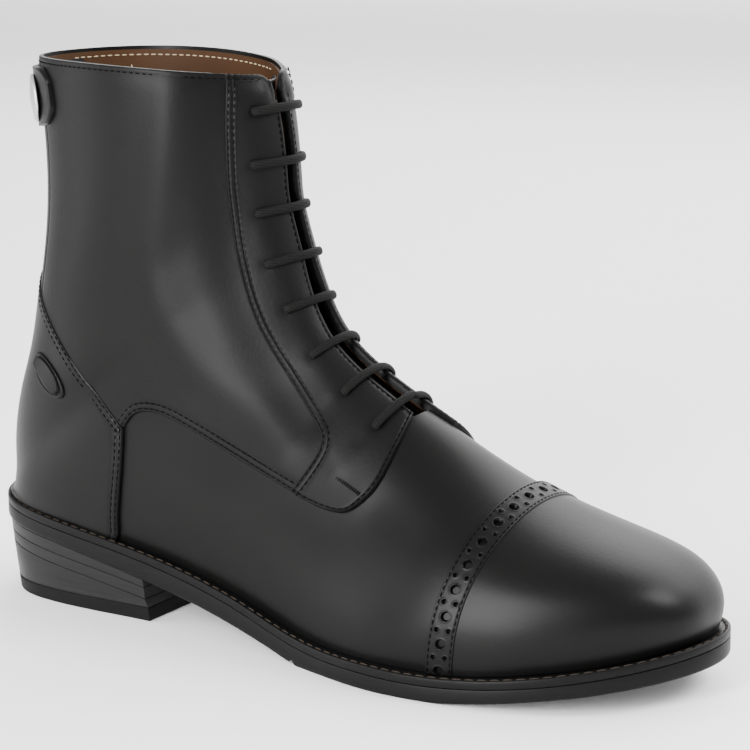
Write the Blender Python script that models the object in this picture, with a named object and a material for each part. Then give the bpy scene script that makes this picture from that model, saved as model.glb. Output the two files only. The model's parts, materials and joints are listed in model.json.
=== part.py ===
"""Lace-up ankle boot for the right foot: perforated toe cap, laced facings and a zip up the back.

Lengths are in millimetres until a mesh is made. On the boot, "along" runs from the back of the sole to its
toe, "across" to the inner side of the foot and "height" up from the floor. In the finished frame the origin
is on the floor under the middle of the sole, +X points to the toe, +Y to the inner side and +Z up.
"""
from math import pi

import bmesh
import bpy
import numpy as np
from mathutils import Matrix, Vector

MM = 0.001
GAP = 0.3

# Sole
SOLE_LENGTH = 302.0
WELT_THICK = 3.0
WELT_INSIDE = 3.5
REACH_HEEL = 3.8
REACH_BALL = 5.5
REACH_FROM, REACH_TO = 70.0, 190.0
INSOLE_THICK = 5.0
INSOLE_INSET = 3.9
SOLE_EDGE_ROUND = 0.4
CROSS_GROOVE_ALONG = 157.0
CROSS_GROOVE_WIDE = 2.4
CROSS_GROOVE_DEEP = 1.2

# Heel
HEEL_BREAST = 82.5
HEEL_TOP_INSET = 0.6
HEEL_SIDE_TAPER = 3.6
HEEL_BACK_TAPER = 2.0
TOP_LIFT_THICK = 5.5
LIFT_LINES_BELOW_SEAT = (13.7, 18.4)
LIFT_LINE_WIDE = 1.0
LIFT_LINE_DEEP = 0.6

# Leather
WALL = 2.0
QUARTER_THICK = 1.0
FACING_THICK = 1.8
COUNTER_THICK = 1.6
CAP_THICK = 1.2
TONGUE_THICK = 2.0
TONGUE_HALF = 21.0
TONGUE_CLEAR = 1.2
ZIP_THICK = 0.8
ZIP_SHARE = 0.86

# Collar
COLLAR_ARCH = 2.0
COLLAR_CORNER = 7.0

# Lace
LACE_WIDE = 3.3
LACE_THICK = 2.1
LACE_CLEAR = 0.4
LACE_SIDES = 8

# Tab over the top of the zip, and its press stud
TAB_THICK = 1.5
TAB_STATIONS = (1.885, 1.985)
TAB_OUTER_SHARE = 0.31
TAB_INNER_SHARE = 0.28
TAB_END_ROUND = 0.05
STUD_STATION, STUD_SHARE = 1.936, 0.19
STUD_RADIUS = 9.0
STUD_HIGH = 2.2

# Oval spur rests on the counter
SPUR_STATION, SPUR_SHARE = 1.19, 0.36
SPUR_LONG_HALF, SPUR_SHORT_HALF = 11.0, 5.2
SPUR_TURN_DEG = 38.0
SPUR_THIN, SPUR_LEDGE = 0.9, 2.4

# Outline of the sole in plan: along, centre across, half width
SOLE_OUTLINE = (
    (0, 0.0, 0.0), (9, 0.0, 24.0), (30, 0.0, 33.5), (64, -0.5, 34.5), (106, -3.5, 32.5), (152, -4.5, 39.0),
    (176, -4.4, 45.9), (198, -3.4, 51.0), (220, -1.0, 52.5), (242, 0.5, 50.5), (273, 3.0, 40.5),
    (295, 5.0, 21.5), (302, 6.0, 0.0),
)
# Seat of the upper on the welt: along, height
SEAT = (
    (0, 40.5), (36, 35.5), (74, 29.6), (92, 26.2), (110, 22.2), (130, 17.2), (150, 11.9), (166, 9.6),
    (192, 9.2), (217, 9.1), (247, 11.6), (277, 16.4), (302, 21.5),
)
# Underside of the outsole: along, height
UNDERSIDE = (
    (0, 31.5), (40, 26.3), (74, 19.6), (110, 11.7), (155.5, 0.5), (158.5, 0.0), (222, 0.0), (242, 2.5),
    (272, 6.8), (302, 11.8),
)
# Sections of the last. Station 0 is the toe's tip, 1 the back of the heel seat and 2 the collar. Each
# section is a plane from the sole or back line to the ridge, and its half outline a curve on these points:
# station, ridge along, ridge height, ridge across, low rise, low half, mid rise, mid half, ridge half
SECTIONS = (
    (0.10, 296.0, 32.8, 5.0, 0.40, 20.0, 0.85, 19.0, 12.0),
    (0.20, 284.0, 44.0, 4.0, 0.35, 36.5, 0.85, 35.0, 21.5),
    (0.30, 261.0, 51.7, 3.0, 0.30, 46.0, 0.80, 45.0, 27.5),
    (0.40, 230.5, 62.3, 2.0, 0.25, 49.0, 0.70, 49.0, 28.5),
    (0.50, 200.6, 79.2, 1.0, 0.22, 41.5, 0.62, 44.5, 23.0),
    (0.60, 174.0, 94.4, 0.0, 0.20, 35.5, 0.60, 43.0, 22.5),
    (0.70, 151.2, 110.4, 0.0, 0.15, 37.0, 0.55, 41.0, 24.0),
    (0.80, 139.9, 128.8, 0.0, 0.10, 36.0, 0.50, 41.0, 27.0),
    (0.90, 135.0, 143.0, 0.0, 0.04, 35.5, 0.48, 42.0, 29.0),
    (1.00, 131.6, 154.6, 0.0, 0.00, 37.0, 0.45, 44.0, 30.0),
    (1.25, 129.0, 168.7, 0.0, 0.00, 35.0, 0.45, 46.0, 29.0),
    (1.50, 127.8, 181.8, 0.0, 0.00, 33.0, 0.45, 50.0, 28.0),
    (1.75, 126.0, 194.0, 0.0, 0.00, 32.0, 0.50, 54.0, 27.0),
    (2.00, 124.0, 207.0, 0.0, 0.00, 32.5, 0.50, 58.5, 27.0),
)
# Back line of the boot above the heel seat: station, along, height
BACK_LINE = (
    (1.12, 4.5, 54.0), (1.25, 7.4, 72.0), (1.40, 14.8, 95.0), (1.55, 20.2, 120.0), (1.70, 24.2, 145.0),
    (1.85, 25.4, 175.0), (2.00, 23.0, 211.0),
)
# Seams in the side view: along, height
COUNTER_TOP = ((-30, 137), (12, 135), (24, 130), (33, 120), (43.5, 109.2), (53, 99.2), (63, 89), (76.5, 76))
COUNTER_FRONT = ((76.5, 76), (76, 63.5), (74, 48), (71.5, 34), (68, 10))
QUARTER_FOOT = ((76.5, 76), (81, 81.5), (88, 83.2), (101.5, 80), (117.5, 74), (133, 68.3), (151.5, 61.5))
FACING_REAR = (
    (115.5, 230), (115.2, 181), (115.6, 163), (119.7, 137), (128.3, 115.5), (143, 97), (155.5, 84.7),
    (159.5, 79), (158, 72.5), (151.5, 61.5),
)
FACING_FOOT = ((151.5, 61.5), (160.5, 58.3), (171, 56.5), (178, 59), (182.5, 64), (185.5, 74.5), (186.3, 90))
INNER_FOOT_STRETCH = 1.27
CAP_REAR = ((214.5, -5), (219, 38), (229, 75))
OUTSIDE_LOW, OUTSIDE_HIGH, OUTSIDE_BACK, OUTSIDE_FRONT = -20.0, 250.0, -30.0, 340.0

# Punched lace holes from the top down: station, half distance across
LACE_HOLES = (
    (1.78, 12.5), (1.45, 14.0), (1.11, 13.5), (0.91, 14.0), (0.79, 13.0), (0.70, 13.0),
    (0.63, 14.5), (0.57, 17.0),
)
# Half of the gap between the facings: station, half gap
THROAT_GAP = ((0.555, 5.5), (0.70, 4.0), (0.90, 2.2), (2.00, 2.0))
THROAT_STATION = 0.555
RIDGE_SHARE_AHEAD = 0.9

# Grid of the leather: stations, and shares of the way from sole to throat
STATIONS = (
    0.0, 0.03, 0.07, 0.12, 0.17, 0.22, 0.27, 0.33, 0.39, 0.45, 0.51, 0.555, 0.59, 0.64, 0.70, 0.76, 0.82,
    0.88, 0.94, 1.0, 1.06, 1.14, 1.24, 1.36, 1.48, 1.61, 1.74, 1.87, 2.0,
)
SHARES = (0.0, 0.03, 0.08, 0.15, 0.24, 0.34, 0.46, 0.60, 0.74, 0.86, 0.94, 1.0)
SEAT_RISE = 20.0
SEAT_RISE_SHARE = 0.05
SOLE_STEPS = 32
OUTER, INNER = -1, 1

BLACK_LEATHER = ((0.012, 0.012, 0.013), 0.38, 0.0)
BLACK_RUBBER = ((0.018, 0.018, 0.019), 0.6, 0.0)
BLACK_CORD = ((0.010, 0.010, 0.011), 0.85, 0.0)
TAN_LEATHER = ((0.20, 0.095, 0.045), 0.6, 0.0)
SATIN_STEEL = ((0.62, 0.62, 0.63), 0.3, 1.0)


def spline(knots, values):
    """Natural cubic through the values at the knots, as a function of an array."""
    knots = np.asarray(knots, float)
    values = np.asarray(values, float)
    count = len(knots)
    step = np.diff(knots)
    slope = np.diff(values) / step
    matrix = np.eye(count)
    right = np.zeros(count)
    for i in range(1, count - 1):
        matrix[i, i - 1:i + 2] = step[i - 1], 2 * (step[i - 1] + step[i]), step[i]
        right[i] = 6 * (slope[i] - slope[i - 1])
    bend = np.linalg.solve(matrix, right)

    def value(at):
        at = np.asarray(at, float)
        i = np.clip(np.searchsorted(knots, at) - 1, 0, count - 2)
        d = at - knots[i]
        linear = slope[i] - step[i] * (2 * bend[i] + bend[i + 1]) / 6
        return values[i] + d * (linear + d * (bend[i] / 2 + d * (bend[i + 1] - bend[i]) / (6 * step[i])))

    return value


def columns(table):
    return np.array(table, float).T


def turn_share(along):
    """Share of the half turn round the sole, 0 at the heel and 1 at the toe."""
    return np.arccos(np.clip(1 - 2 * np.asarray(along, float) / SOLE_LENGTH, -1, 1)) / pi


outline_along, outline_centre, outline_half = columns(SOLE_OUTLINE)
sole_centre = spline(turn_share(outline_along), outline_centre)
sole_half = spline(turn_share(outline_along), outline_half)
seat = spline(*columns(SEAT))
toe_tip = SOLE_LENGTH - REACH_BALL
toe_row = (0.0, toe_tip, float(seat(toe_tip)), SOLE_OUTLINE[-1][1], 0.40, 0.0, 0.85, 0.0, 0.0)
section_columns = columns((toe_row,) + SECTIONS)
section_values = [spline(section_columns[0], column) for column in section_columns[1:]]
back_rows = ((1.0, REACH_HEEL, float(seat(REACH_HEEL))),) + BACK_LINE
back_station, back_along, back_height = columns(back_rows)
back_line_along = spline(back_station, back_along)
back_line_height = spline(back_station, back_height)


def underside(along):
    """Height of the outsole's underside, flat where the forefoot stands, with its cross groove."""
    table_along, table_height = columns(UNDERSIDE)
    height = np.maximum(np.interp(along, table_along, table_height), 0)
    in_groove = np.abs(along - CROSS_GROOVE_ALONG) < CROSS_GROOVE_WIDE / 2
    return height + CROSS_GROOVE_DEEP * in_groove


def feather(share):
    """Bottom edge of the upper at a share of the half turn: along, centre across, height, half width."""
    share = np.asarray(share, float)
    along = REACH_HEEL + (SOLE_LENGTH - REACH_BALL - REACH_HEEL) * (1 - np.cos(pi * share)) / 2
    waist = np.clip((along - REACH_FROM) / (REACH_TO - REACH_FROM), 0, 1)
    reach = REACH_HEEL + (REACH_BALL - REACH_HEEL) * waist
    side = np.clip(1.4 * np.sin(pi * share), 0, 1)
    return along, sole_centre(share), seat(along), np.maximum(sole_half(share) - reach * side, 0)


def section(station):
    """Bottom point and ridge point of a section, and the points of its half outline."""
    foot = station <= 1
    along, across, height, half = feather(np.clip(1 - station, 0, 1))
    shaft = np.maximum(station, 1)
    low_point = (
        np.where(foot, along, back_line_along(shaft)),
        np.where(foot, across, 0),
        np.where(foot, height, back_line_height(shaft)),
    )
    ridge_along, ridge_height, ridge_across, *outline = [value(station) for value in section_values]
    return low_point, (ridge_along, ridge_across, ridge_height), np.where(foot, half, 0), outline


def half_width(station, share):
    _, _, half, (low_rise, low_half, mid_rise, mid_half, ridge_half) = section(station)
    away = 1 - share
    return (half * away ** 4 + 4 * low_half * share * away ** 3 + 6 * mid_half * share ** 2 * away ** 2
            + 4 * ridge_half * share ** 3 * away)


def last_point(station, share, side):
    """Point on the outside of the upper: share 0 at the sole or back line, 1 at the ridge."""
    station, share = np.broadcast_arrays(np.asarray(station, float), np.asarray(share, float))
    low, ridge, _, (low_rise, low_half, mid_rise, mid_half, ridge_half) = section(station)
    away = 1 - share
    rise = (4 * low_rise * share * away ** 3 + 6 * mid_rise * share ** 2 * away ** 2
            + 4 * share ** 3 * away + share ** 4)
    along, across, height = [a + (b - a) * rise for a, b in zip(low, ridge)]
    return np.stack([along, across + side * half_width(station, share), height], -1)


def last_normal(station, share, side):
    """Outward unit normal of the upper."""
    small = 1e-3
    s = np.clip(station, 0.004, 2 - small)
    v = np.clip(share, 0.006, 1 - small)
    by_station = last_point(s + small, v, side) - last_point(s - small, v, side)
    by_share = last_point(s, v + small, side) - last_point(s, v - small, side)
    normal = np.cross(by_share, by_station) * -side
    normal /= np.linalg.norm(normal, axis=-1, keepdims=True)
    return np.where(np.asarray(station)[..., None] < 1e-6, np.array([1.0, 0, 0]), normal)


def share_at_half(station, target, low, high):
    """Share between low and high where a section has the target half width."""
    station = np.asarray(station, float)
    a = np.full(station.shape, float(low))
    b = np.full(station.shape, float(high))
    rising = half_width(station, b) > half_width(station, a)
    for _ in range(40):
        middle = (a + b) / 2
        short = (half_width(station, middle) < target) == rising
        a = np.where(short, middle, a)
        b = np.where(short, b, middle)
    return (a + b) / 2


def throat_share(station):
    """Share at which the leather of one side ends: the throat, or a line beside the ridge ahead of it."""
    gap = np.interp(station, *columns(THROAT_GAP))
    laced = share_at_half(station, gap, 0.7, 1.0)
    return np.where(np.asarray(station) < THROAT_STATION - 1e-6, RIDGE_SHARE_AHEAD, laced)


def collar_height(along, half):
    """Top edge of the shaft: slightly arched from back to front, with round corners at the throat."""
    back, front = back_along[-1], SECTIONS[-1][1]
    level = np.interp(along, (back, front), (back_height[-1], SECTIONS[-1][2]))
    part_way = np.clip((along - back) / (front - back), 0, 1)
    arch = COLLAR_ARCH * 4 * part_way * (1 - part_way)
    near_throat = np.clip(1 - (half - THROAT_GAP[-1][1]) / COLLAR_CORNER, 0, 1) * (part_way > 0.5)
    return level + arch - COLLAR_CORNER * (1 - np.sqrt(1 - near_throat ** 2))


def patch(stations, shares_at, side):
    """Grid of stations by shares on one side. shares_at gives a row of shares for each station."""
    stations = np.asarray(stations, float)
    share = np.array([shares_at(s) for s in stations])
    station = np.broadcast_to(stations[:, None], share.shape)
    return station, share, side


def offset_points(station, share, side, lift):
    """Last points moved out by lift. The bottom edge stays on the seat and the top edge at the collar."""
    normal = last_normal(station, share, side)
    points = last_point(station, share, side) + normal * np.asarray(lift)[..., None]
    on_seat = (share < 1e-6) & (station < 1 + 1e-6)
    at_collar = station > 2 - 1e-6
    lowest = seat(points[..., 0]) + SEAT_RISE * np.minimum(share, SEAT_RISE_SHARE)
    points[..., 2] = np.where(on_seat, lowest, np.maximum(points[..., 2], lowest))
    collar = collar_height(points[..., 0], half_width(station, share))
    points[..., 2] = np.where(at_collar, collar, points[..., 2])
    return points


def skin(name, patches, low, high, finish):
    """Solid between two offsets of the last over patches that join where their edges coincide."""
    keys, below, above, faces = {}, [], [], []
    for station, share, side in patches:
        base = last_point(station, share, side)
        lows = offset_points(station, share, side, low + 0 * station)
        highs = offset_points(station, share, side, high + 0 * station)
        index = np.zeros(station.shape, int)
        for i, j in np.ndindex(station.shape):
            key = tuple(np.round(base[i, j], 3) + 0.0)
            if key not in keys:
                keys[key] = len(below)
                below.append([])
                above.append([])
            index[i, j] = keys[key]
            below[index[i, j]].append(lows[i, j])
            above[index[i, j]].append(highs[i, j])
        for i, j in np.ndindex(station.shape[0] - 1, station.shape[1] - 1):
            a, b, c, d = index[i, j], index[i, j + 1], index[i + 1, j + 1], index[i + 1, j]
            for corner in ([a, b, c], [a, c, d]):
                if len(set(corner)) == 3:
                    faces.append(corner if side == OUTER else corner[::-1])
    mesh = bmesh.new()
    lower = [mesh.verts.new(place(np.mean(group, 0))) for group in below]
    upper = [mesh.verts.new(place(np.mean(group, 0))) for group in above]
    edge_count = {}
    for face in faces:
        mesh.faces.new([upper[i] for i in face])
        mesh.faces.new([lower[i] for i in reversed(face)])
        for pair in zip(face, face[1:] + face[:1]):
            edge_count[pair] = edge_count.get(pair, 0) + 1
    for a, b in edge_count:
        if (b, a) not in edge_count:
            mesh.faces.new((upper[b], upper[a], lower[a], lower[b]))
    return finished(name, mesh, finish)


def place(point):
    """A point of the boot in the finished frame, in metres."""
    return Vector(((point[0] - SOLE_LENGTH / 2) * MM, (point[1] - MIDDLE_ACROSS) * MM, point[2] * MM))


def material(name, finish):
    colour, roughness, metallic = finish
    made = bpy.data.materials.new(name)
    made.use_nodes = True
    shader = made.node_tree.nodes["Principled BSDF"]
    shader.inputs["Base Color"].default_value = (*colour, 1.0)
    shader.inputs["Roughness"].default_value = roughness
    shader.inputs["Metallic"].default_value = metallic
    return made


def finished(name, mesh, finish):
    """Turn a bmesh into a named object with faces that point out."""
    bmesh.ops.recalc_face_normals(mesh, faces=mesh.faces)
    data = bpy.data.meshes.new(name)
    mesh.to_mesh(data)
    mesh.free()
    data.materials.append(material(name, finish))
    data.shade_smooth()
    data.set_sharp_from_angle(angle=0.6)
    made = bpy.data.objects.new(name, data)
    bpy.context.scene.collection.objects.link(made)
    return made


def cut_to(made, outline, side_low, side_high):
    """Keep what lies inside a side-view outline, between two distances across."""
    mesh = bmesh.new()
    ring = [mesh.verts.new(place((along, side_low, height))) for along, height in outline]
    face = mesh.faces.new(ring)
    grown = bmesh.ops.extrude_face_region(mesh, geom=[face])
    moved = [item for item in grown["geom"] if isinstance(item, bmesh.types.BMVert)]
    bmesh.ops.translate(mesh, verts=moved, vec=(0, (side_high - side_low) * MM, 0))
    bmesh.ops.recalc_face_normals(mesh, faces=mesh.faces)
    data = bpy.data.meshes.new(made.name + "_outline")
    mesh.to_mesh(data)
    mesh.free()
    cutter = bpy.data.objects.new(made.name + "_outline", data)
    bpy.context.scene.collection.objects.link(cutter)
    cutter.hide_render = True
    cutter.display_type = "WIRE"
    trim = made.modifiers.new("outline", "BOOLEAN")
    trim.operation = "INTERSECT"
    trim.solver = "EXACT"
    trim.object = cutter


def seam(points, aside=0.0, per_span=3):
    """Smooth line through side-view points, moved to the left of its run by aside."""
    points = np.array(points, float)
    run = np.concatenate([[0], np.cumsum(np.hypot(*np.diff(points, axis=0).T))])
    spans = [np.linspace(a, b, per_span, endpoint=False) for a, b in zip(run, run[1:])]
    at = np.concatenate(spans + [run[-1:]])
    line = np.stack([spline(run, points[:, 0])(at), spline(run, points[:, 1])(at)], 1)
    way = np.gradient(line, axis=0)
    way /= np.linalg.norm(way, axis=1)[:, None]
    return [tuple(p) for p in line + aside * np.stack([-way[:, 1], way[:, 0]], 1)]


def plan_loop(outline, inset, shares):
    """Closed loop round a plan outline: out along the outer side, back along the inner side."""
    along, centre, half = outline(shares)
    outer = np.stack([along, centre - half], 1)
    inner = np.stack([along, centre + half], 1)[-2:0:-1]
    loop = np.concatenate([outer, inner])
    way = np.roll(loop, -1, 0) - np.roll(loop, 1, 0)
    way /= np.linalg.norm(way, axis=1)[:, None]
    return loop - inset * np.stack([way[:, 1], -way[:, 0]], 1)


def sole_edge(shares):
    return SOLE_LENGTH * (1 - np.cos(pi * shares)) / 2, sole_centre(shares), sole_half(shares)


def feather_edge(shares):
    along, centre, _, half = feather(shares)
    return along, centre, half


def loft(mesh, loops):
    """Rings of vertices joined by quads, in order."""
    rings = [[mesh.verts.new(place(point)) for point in loop] for loop in loops]
    for lower, upper in zip(rings, rings[1:]):
        count = len(lower)
        for i in range(count):
            j = (i + 1) % count
            mesh.faces.new((lower[i], lower[j], upper[j], upper[i]))
    return rings


def close_ladder(mesh, ring):
    """Close a ring with rungs between its outer and inner half."""
    count = len(ring)
    for i in range(count // 2):
        corner = (ring[i], ring[i + 1], ring[(count - i - 1) % count], ring[(count - i) % count])
        mesh.faces.new(list(dict.fromkeys(corner)))


def at_height(loop, height):
    return np.column_stack([loop, height(loop[:, 0])])


def middle_across():
    """Middle of the sole's width, so that the frame is centred on it."""
    _, centre, half = sole_edge(np.linspace(0, 1, 400))
    return ((centre - half).min() + (centre + half).max()) / 2


MIDDLE_ACROSS = middle_across()


def make_outsole():
    groove = CROSS_GROOVE_ALONG + CROSS_GROOVE_WIDE / 2 * np.array([-1.02, -0.98, 0.98, 1.02])
    shares = np.sort(np.concatenate([np.linspace(0, 1, SOLE_STEPS), turn_share(groove)]))
    top = lambda along: seat(along) - WELT_THICK - 2 * GAP
    rounded = lambda along: underside(along) + SOLE_EDGE_ROUND
    mesh = bmesh.new()
    rings = loft(mesh, [
        at_height(plan_loop(sole_edge, 2 * SOLE_EDGE_ROUND, shares), underside),
        at_height(plan_loop(sole_edge, SOLE_EDGE_ROUND / 3, shares), rounded),
        at_height(plan_loop(sole_edge, 0, shares), top),
    ])
    close_ladder(mesh, rings[0])
    close_ladder(mesh, rings[-1])
    return finished("outsole", mesh, BLACK_RUBBER)


def make_welt():
    shares = np.linspace(0, 1, SOLE_STEPS)
    outside = plan_loop(sole_edge, 0, shares)
    rounded = plan_loop(sole_edge, SOLE_EDGE_ROUND, shares)
    inside = plan_loop(feather_edge, WELT_INSIDE, shares)
    top = lambda along: seat(along) - GAP
    base = lambda along: seat(along) - GAP - WELT_THICK
    shoulder = lambda along: seat(along) - GAP - SOLE_EDGE_ROUND
    mesh = bmesh.new()
    rings = loft(mesh, [at_height(outside, base), at_height(outside, shoulder), at_height(rounded, top),
                        at_height(inside, top), at_height(inside, base)])
    first, last = rings[0], rings[-1]
    for i in range(len(first)):
        j = (i + 1) % len(first)
        mesh.faces.new((last[i], last[j], first[j], first[i]))
    return finished("welt", mesh, BLACK_LEATHER)


def make_insole():
    shares = np.linspace(0, 1, SOLE_STEPS)
    loop = plan_loop(feather_edge, INSOLE_INSET, shares)
    base = lambda along: seat(along) - GAP - WELT_THICK
    mesh = bmesh.new()
    rings = loft(mesh, [at_height(loop, base), at_height(loop, lambda along: base(along) + INSOLE_THICK)])
    close_ladder(mesh, rings[0])
    close_ladder(mesh, rings[-1])
    return finished("insole", mesh, TAN_LEATHER)


def heel_loop(inset_side, inset_back):
    """Plan loop of the heel behind its straight breast."""
    last_share = float(turn_share(HEEL_BREAST))
    shares = np.linspace(0, last_share, SOLE_STEPS // 2 - 2)
    along, centre, half = sole_edge(shares)
    reach = np.clip(along / outline_along[2], 0, 1)
    half = half - (inset_side * reach + inset_back * (1 - reach)) * np.clip(half / 20, 0, 1)
    along = inset_back + (HEEL_BREAST - inset_back) * along / HEEL_BREAST
    outer = np.stack([along, centre - half], 1)
    inner = np.stack([along, centre + half], 1)[:0:-1]
    return np.concatenate([outer, inner])


def tapered_heel_ring(drop_share, height, extra_inset=0.0):
    """Heel loop at a share of the way down to the floor, drawn in by the taper."""
    side = HEEL_TOP_INSET + HEEL_SIDE_TAPER * drop_share + extra_inset
    back = HEEL_TOP_INSET + HEEL_BACK_TAPER * drop_share + extra_inset
    return at_height(heel_loop(side, back), height)


def make_heel_block():
    top = lambda along: underside(along) - GAP
    base = TOP_LIFT_THICK + GAP
    levels = [(0.0, top, 0.0)]
    for below in LIFT_LINES_BELOW_SEAT:
        share = (below - 8.5) / 32
        for rise, deep in ((LIFT_LINE_WIDE / 2, 0.0), (0.0, LIFT_LINE_DEEP), (-LIFT_LINE_WIDE / 2, 0.0)):
            height = lambda along, d=below, r=rise: np.maximum(seat(along) - d + r, base + 1 + r)
            levels.append((share, height, deep))
    levels.append((1 - TOP_LIFT_THICK / 32, lambda along: np.full(along.shape, base), 0.0))
    mesh = bmesh.new()
    rings = loft(mesh, [tapered_heel_ring(share, height, deep) for share, height, deep in levels])
    for ring in (rings[0], rings[-1]):
        close_ladder(mesh, ring)
    return finished("heel_block", mesh, BLACK_LEATHER)


def make_heel_top_lift():
    share = 1 - TOP_LIFT_THICK / 32
    flat = lambda level: lambda along: np.full(along.shape, level)
    mesh = bmesh.new()
    rings = loft(mesh, [
        tapered_heel_ring(share, flat(TOP_LIFT_THICK)),
        tapered_heel_ring(1.0, flat(SOLE_EDGE_ROUND)),
        tapered_heel_ring(1.0, flat(0.0), SOLE_EDGE_ROUND),
    ])
    for ring in (rings[0], rings[-1]):
        close_ladder(mesh, ring)
    return finished("heel_top_lift", mesh, BLACK_RUBBER)


def leather_patches(stations, first_share=0):
    """Both sides of the leather over some stations, joined over the ridge ahead of the throat."""
    main = np.array(SHARES[first_share:])
    ahead = [s for s in stations if s <= THROAT_STATION + 1e-6]
    over_ridge = lambda s: (throat_share(s), 1.0)
    found = []
    for side in (OUTER, INNER):
        found.append(patch(stations, lambda s: main * throat_share(s), side))
        if len(ahead) > 1:
            found.append(patch(ahead, over_ridge, side))
    return found


def make_upper():
    return skin("upper", leather_patches(STATIONS), -WALL, 0.0, BLACK_LEATHER)


def make_toe_cap():
    stations = [s for s in STATIONS if s < 0.5]
    cap = skin("toe_cap", leather_patches(stations), GAP, GAP + CAP_THICK, BLACK_LEATHER)
    outline = seam(CAP_REAR) + [(OUTSIDE_FRONT, CAP_REAR[-1][1]), (OUTSIDE_FRONT, CAP_REAR[0][1])]
    cut_to(cap, outline, -90, 90)
    return cap


def make_counter():
    stations = [s for s in STATIONS if 0.6 < s < 1.8]
    shares = np.array(SHARES[:9])
    patches = [patch(stations, lambda s: shares * throat_share(s), side) for side in (OUTER, INNER)]
    counter = skin("counter", patches, GAP, GAP + COUNTER_THICK, BLACK_LEATHER)
    edge = seam(COUNTER_TOP, -GAP / 2)[:-1] + seam(COUNTER_FRONT)
    cut_to(counter, edge + [(COUNTER_FRONT[-1][0], OUTSIDE_LOW), (OUTSIDE_BACK, OUTSIDE_LOW)], -90, 90)
    return counter


def make_quarter(name, side):
    stations = [s for s in STATIONS if s > 0.5]
    shares = np.array(SHARES[1:])
    patches = [patch(stations, lambda s: shares * throat_share(s), side)]
    quarter = skin(name, patches, GAP, GAP + QUARTER_THICK, BLACK_LEATHER)
    edge = seam(COUNTER_TOP, GAP / 2)[:-1] + seam(QUARTER_FOOT)[:-1] + seam(FACING_REAR, -GAP / 2)[::-1]
    outline = edge + [(FACING_REAR[0][0], OUTSIDE_HIGH), (OUTSIDE_BACK, OUTSIDE_HIGH)]
    cut_to(quarter, outline, min(0, side * 90), max(0, side * 90))
    return quarter


def make_facing(name, side):
    stations = [s for s in STATIONS if s > 0.4]
    shares = np.array(SHARES[5:])
    patches = [patch(stations, lambda s: shares * throat_share(s), side)]
    facing = skin(name, patches, GAP, GAP + FACING_THICK, BLACK_LEATHER)
    start = FACING_FOOT[0][0]
    stretch = 1.0 if side == OUTER else INNER_FOOT_STRETCH
    foot = seam([(start + (along - start) * stretch, height) for along, height in FACING_FOOT])
    outline = seam(FACING_REAR, GAP / 2) + foot[1:]
    outline += [(foot[-1][0], OUTSIDE_HIGH), (FACING_REAR[0][0], OUTSIDE_HIGH)]
    cut_to(facing, outline, min(0, side * 90), max(0, side * 90))
    return facing


def make_tongue():
    stations = (0.6, 0.66, 0.72, 0.78, 0.84, 0.9, 0.96, 1.02, 1.15, 1.3, 1.45, 1.6, 1.75, 1.9, 1.99)
    edge = lambda s: float(share_at_half(s, TONGUE_HALF, 0.55, 1.0))
    shares = np.linspace(0, 1, 5)
    row = lambda s: edge(s) + (1 - edge(s)) * shares
    patches = [patch(stations, row, side) for side in (OUTER, INNER)]
    return skin("tongue", patches, -WALL - TONGUE_CLEAR - TONGUE_THICK, -WALL - TONGUE_CLEAR, BLACK_LEATHER)


def make_back_zip():
    stations = (1.645, 1.74, 1.87, 2.0)
    row = lambda s: (0.0, ZIP_SHARE * SHARES[1] * throat_share(s))
    patches = [patch(stations, row, side) for side in (OUTER, INNER)]
    return skin("back_zip", patches, GAP, GAP + ZIP_THICK, BLACK_CORD)


def make_snap_tab():
    low, high = TAB_STATIONS
    stations = np.linspace(low, high, 7)
    base = 3 * GAP + QUARTER_THICK
    shares = np.linspace(0, 1, 6)

    def row(side):
        end = TAB_OUTER_SHARE if side == OUTER else TAB_INNER_SHARE
        rounding = TAB_END_ROUND if side == OUTER else 0.0
        return lambda s: shares * (end - rounding * (2 * (s - low) / (high - low) - 1) ** 4)

    patches = [patch(stations, row(side), side) for side in (OUTER, INNER)]
    return skin("snap_tab", patches, base, base + TAB_THICK, BLACK_LEATHER)


def make_snap_button():
    station, share = np.array(STUD_STATION), np.array(STUD_SHARE)
    normal = last_normal(station, share, OUTER)
    level = 4 * GAP + QUARTER_THICK + TAB_THICK
    foot = last_point(station, share, OUTER) + normal * level
    mesh = bmesh.new()
    made = bmesh.ops.create_cone(mesh, cap_ends=True, segments=24, radius1=STUD_RADIUS * MM,
                                 radius2=STUD_RADIUS * MM, depth=STUD_HIGH * MM)
    bmesh.ops.translate(mesh, verts=made["verts"], vec=(0, 0, STUD_HIGH / 2 * MM))
    crown = [edge for edge in mesh.edges if all(v.co.z > STUD_HIGH / 2 * MM for v in edge.verts)]
    bmesh.ops.bevel(mesh, geom=crown, offset=1.4 * MM, offset_type="OFFSET", segments=2, profile=0.5,
                    affect="EDGES", material=-1)
    turn = Vector((0, 0, 1)).rotation_difference(Vector(normal)).to_matrix().to_4x4()
    bmesh.ops.transform(mesh, matrix=Matrix.Translation(place(foot)) @ turn, verts=mesh.verts)
    return finished("snap_button", mesh, SATIN_STEEL)


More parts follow.
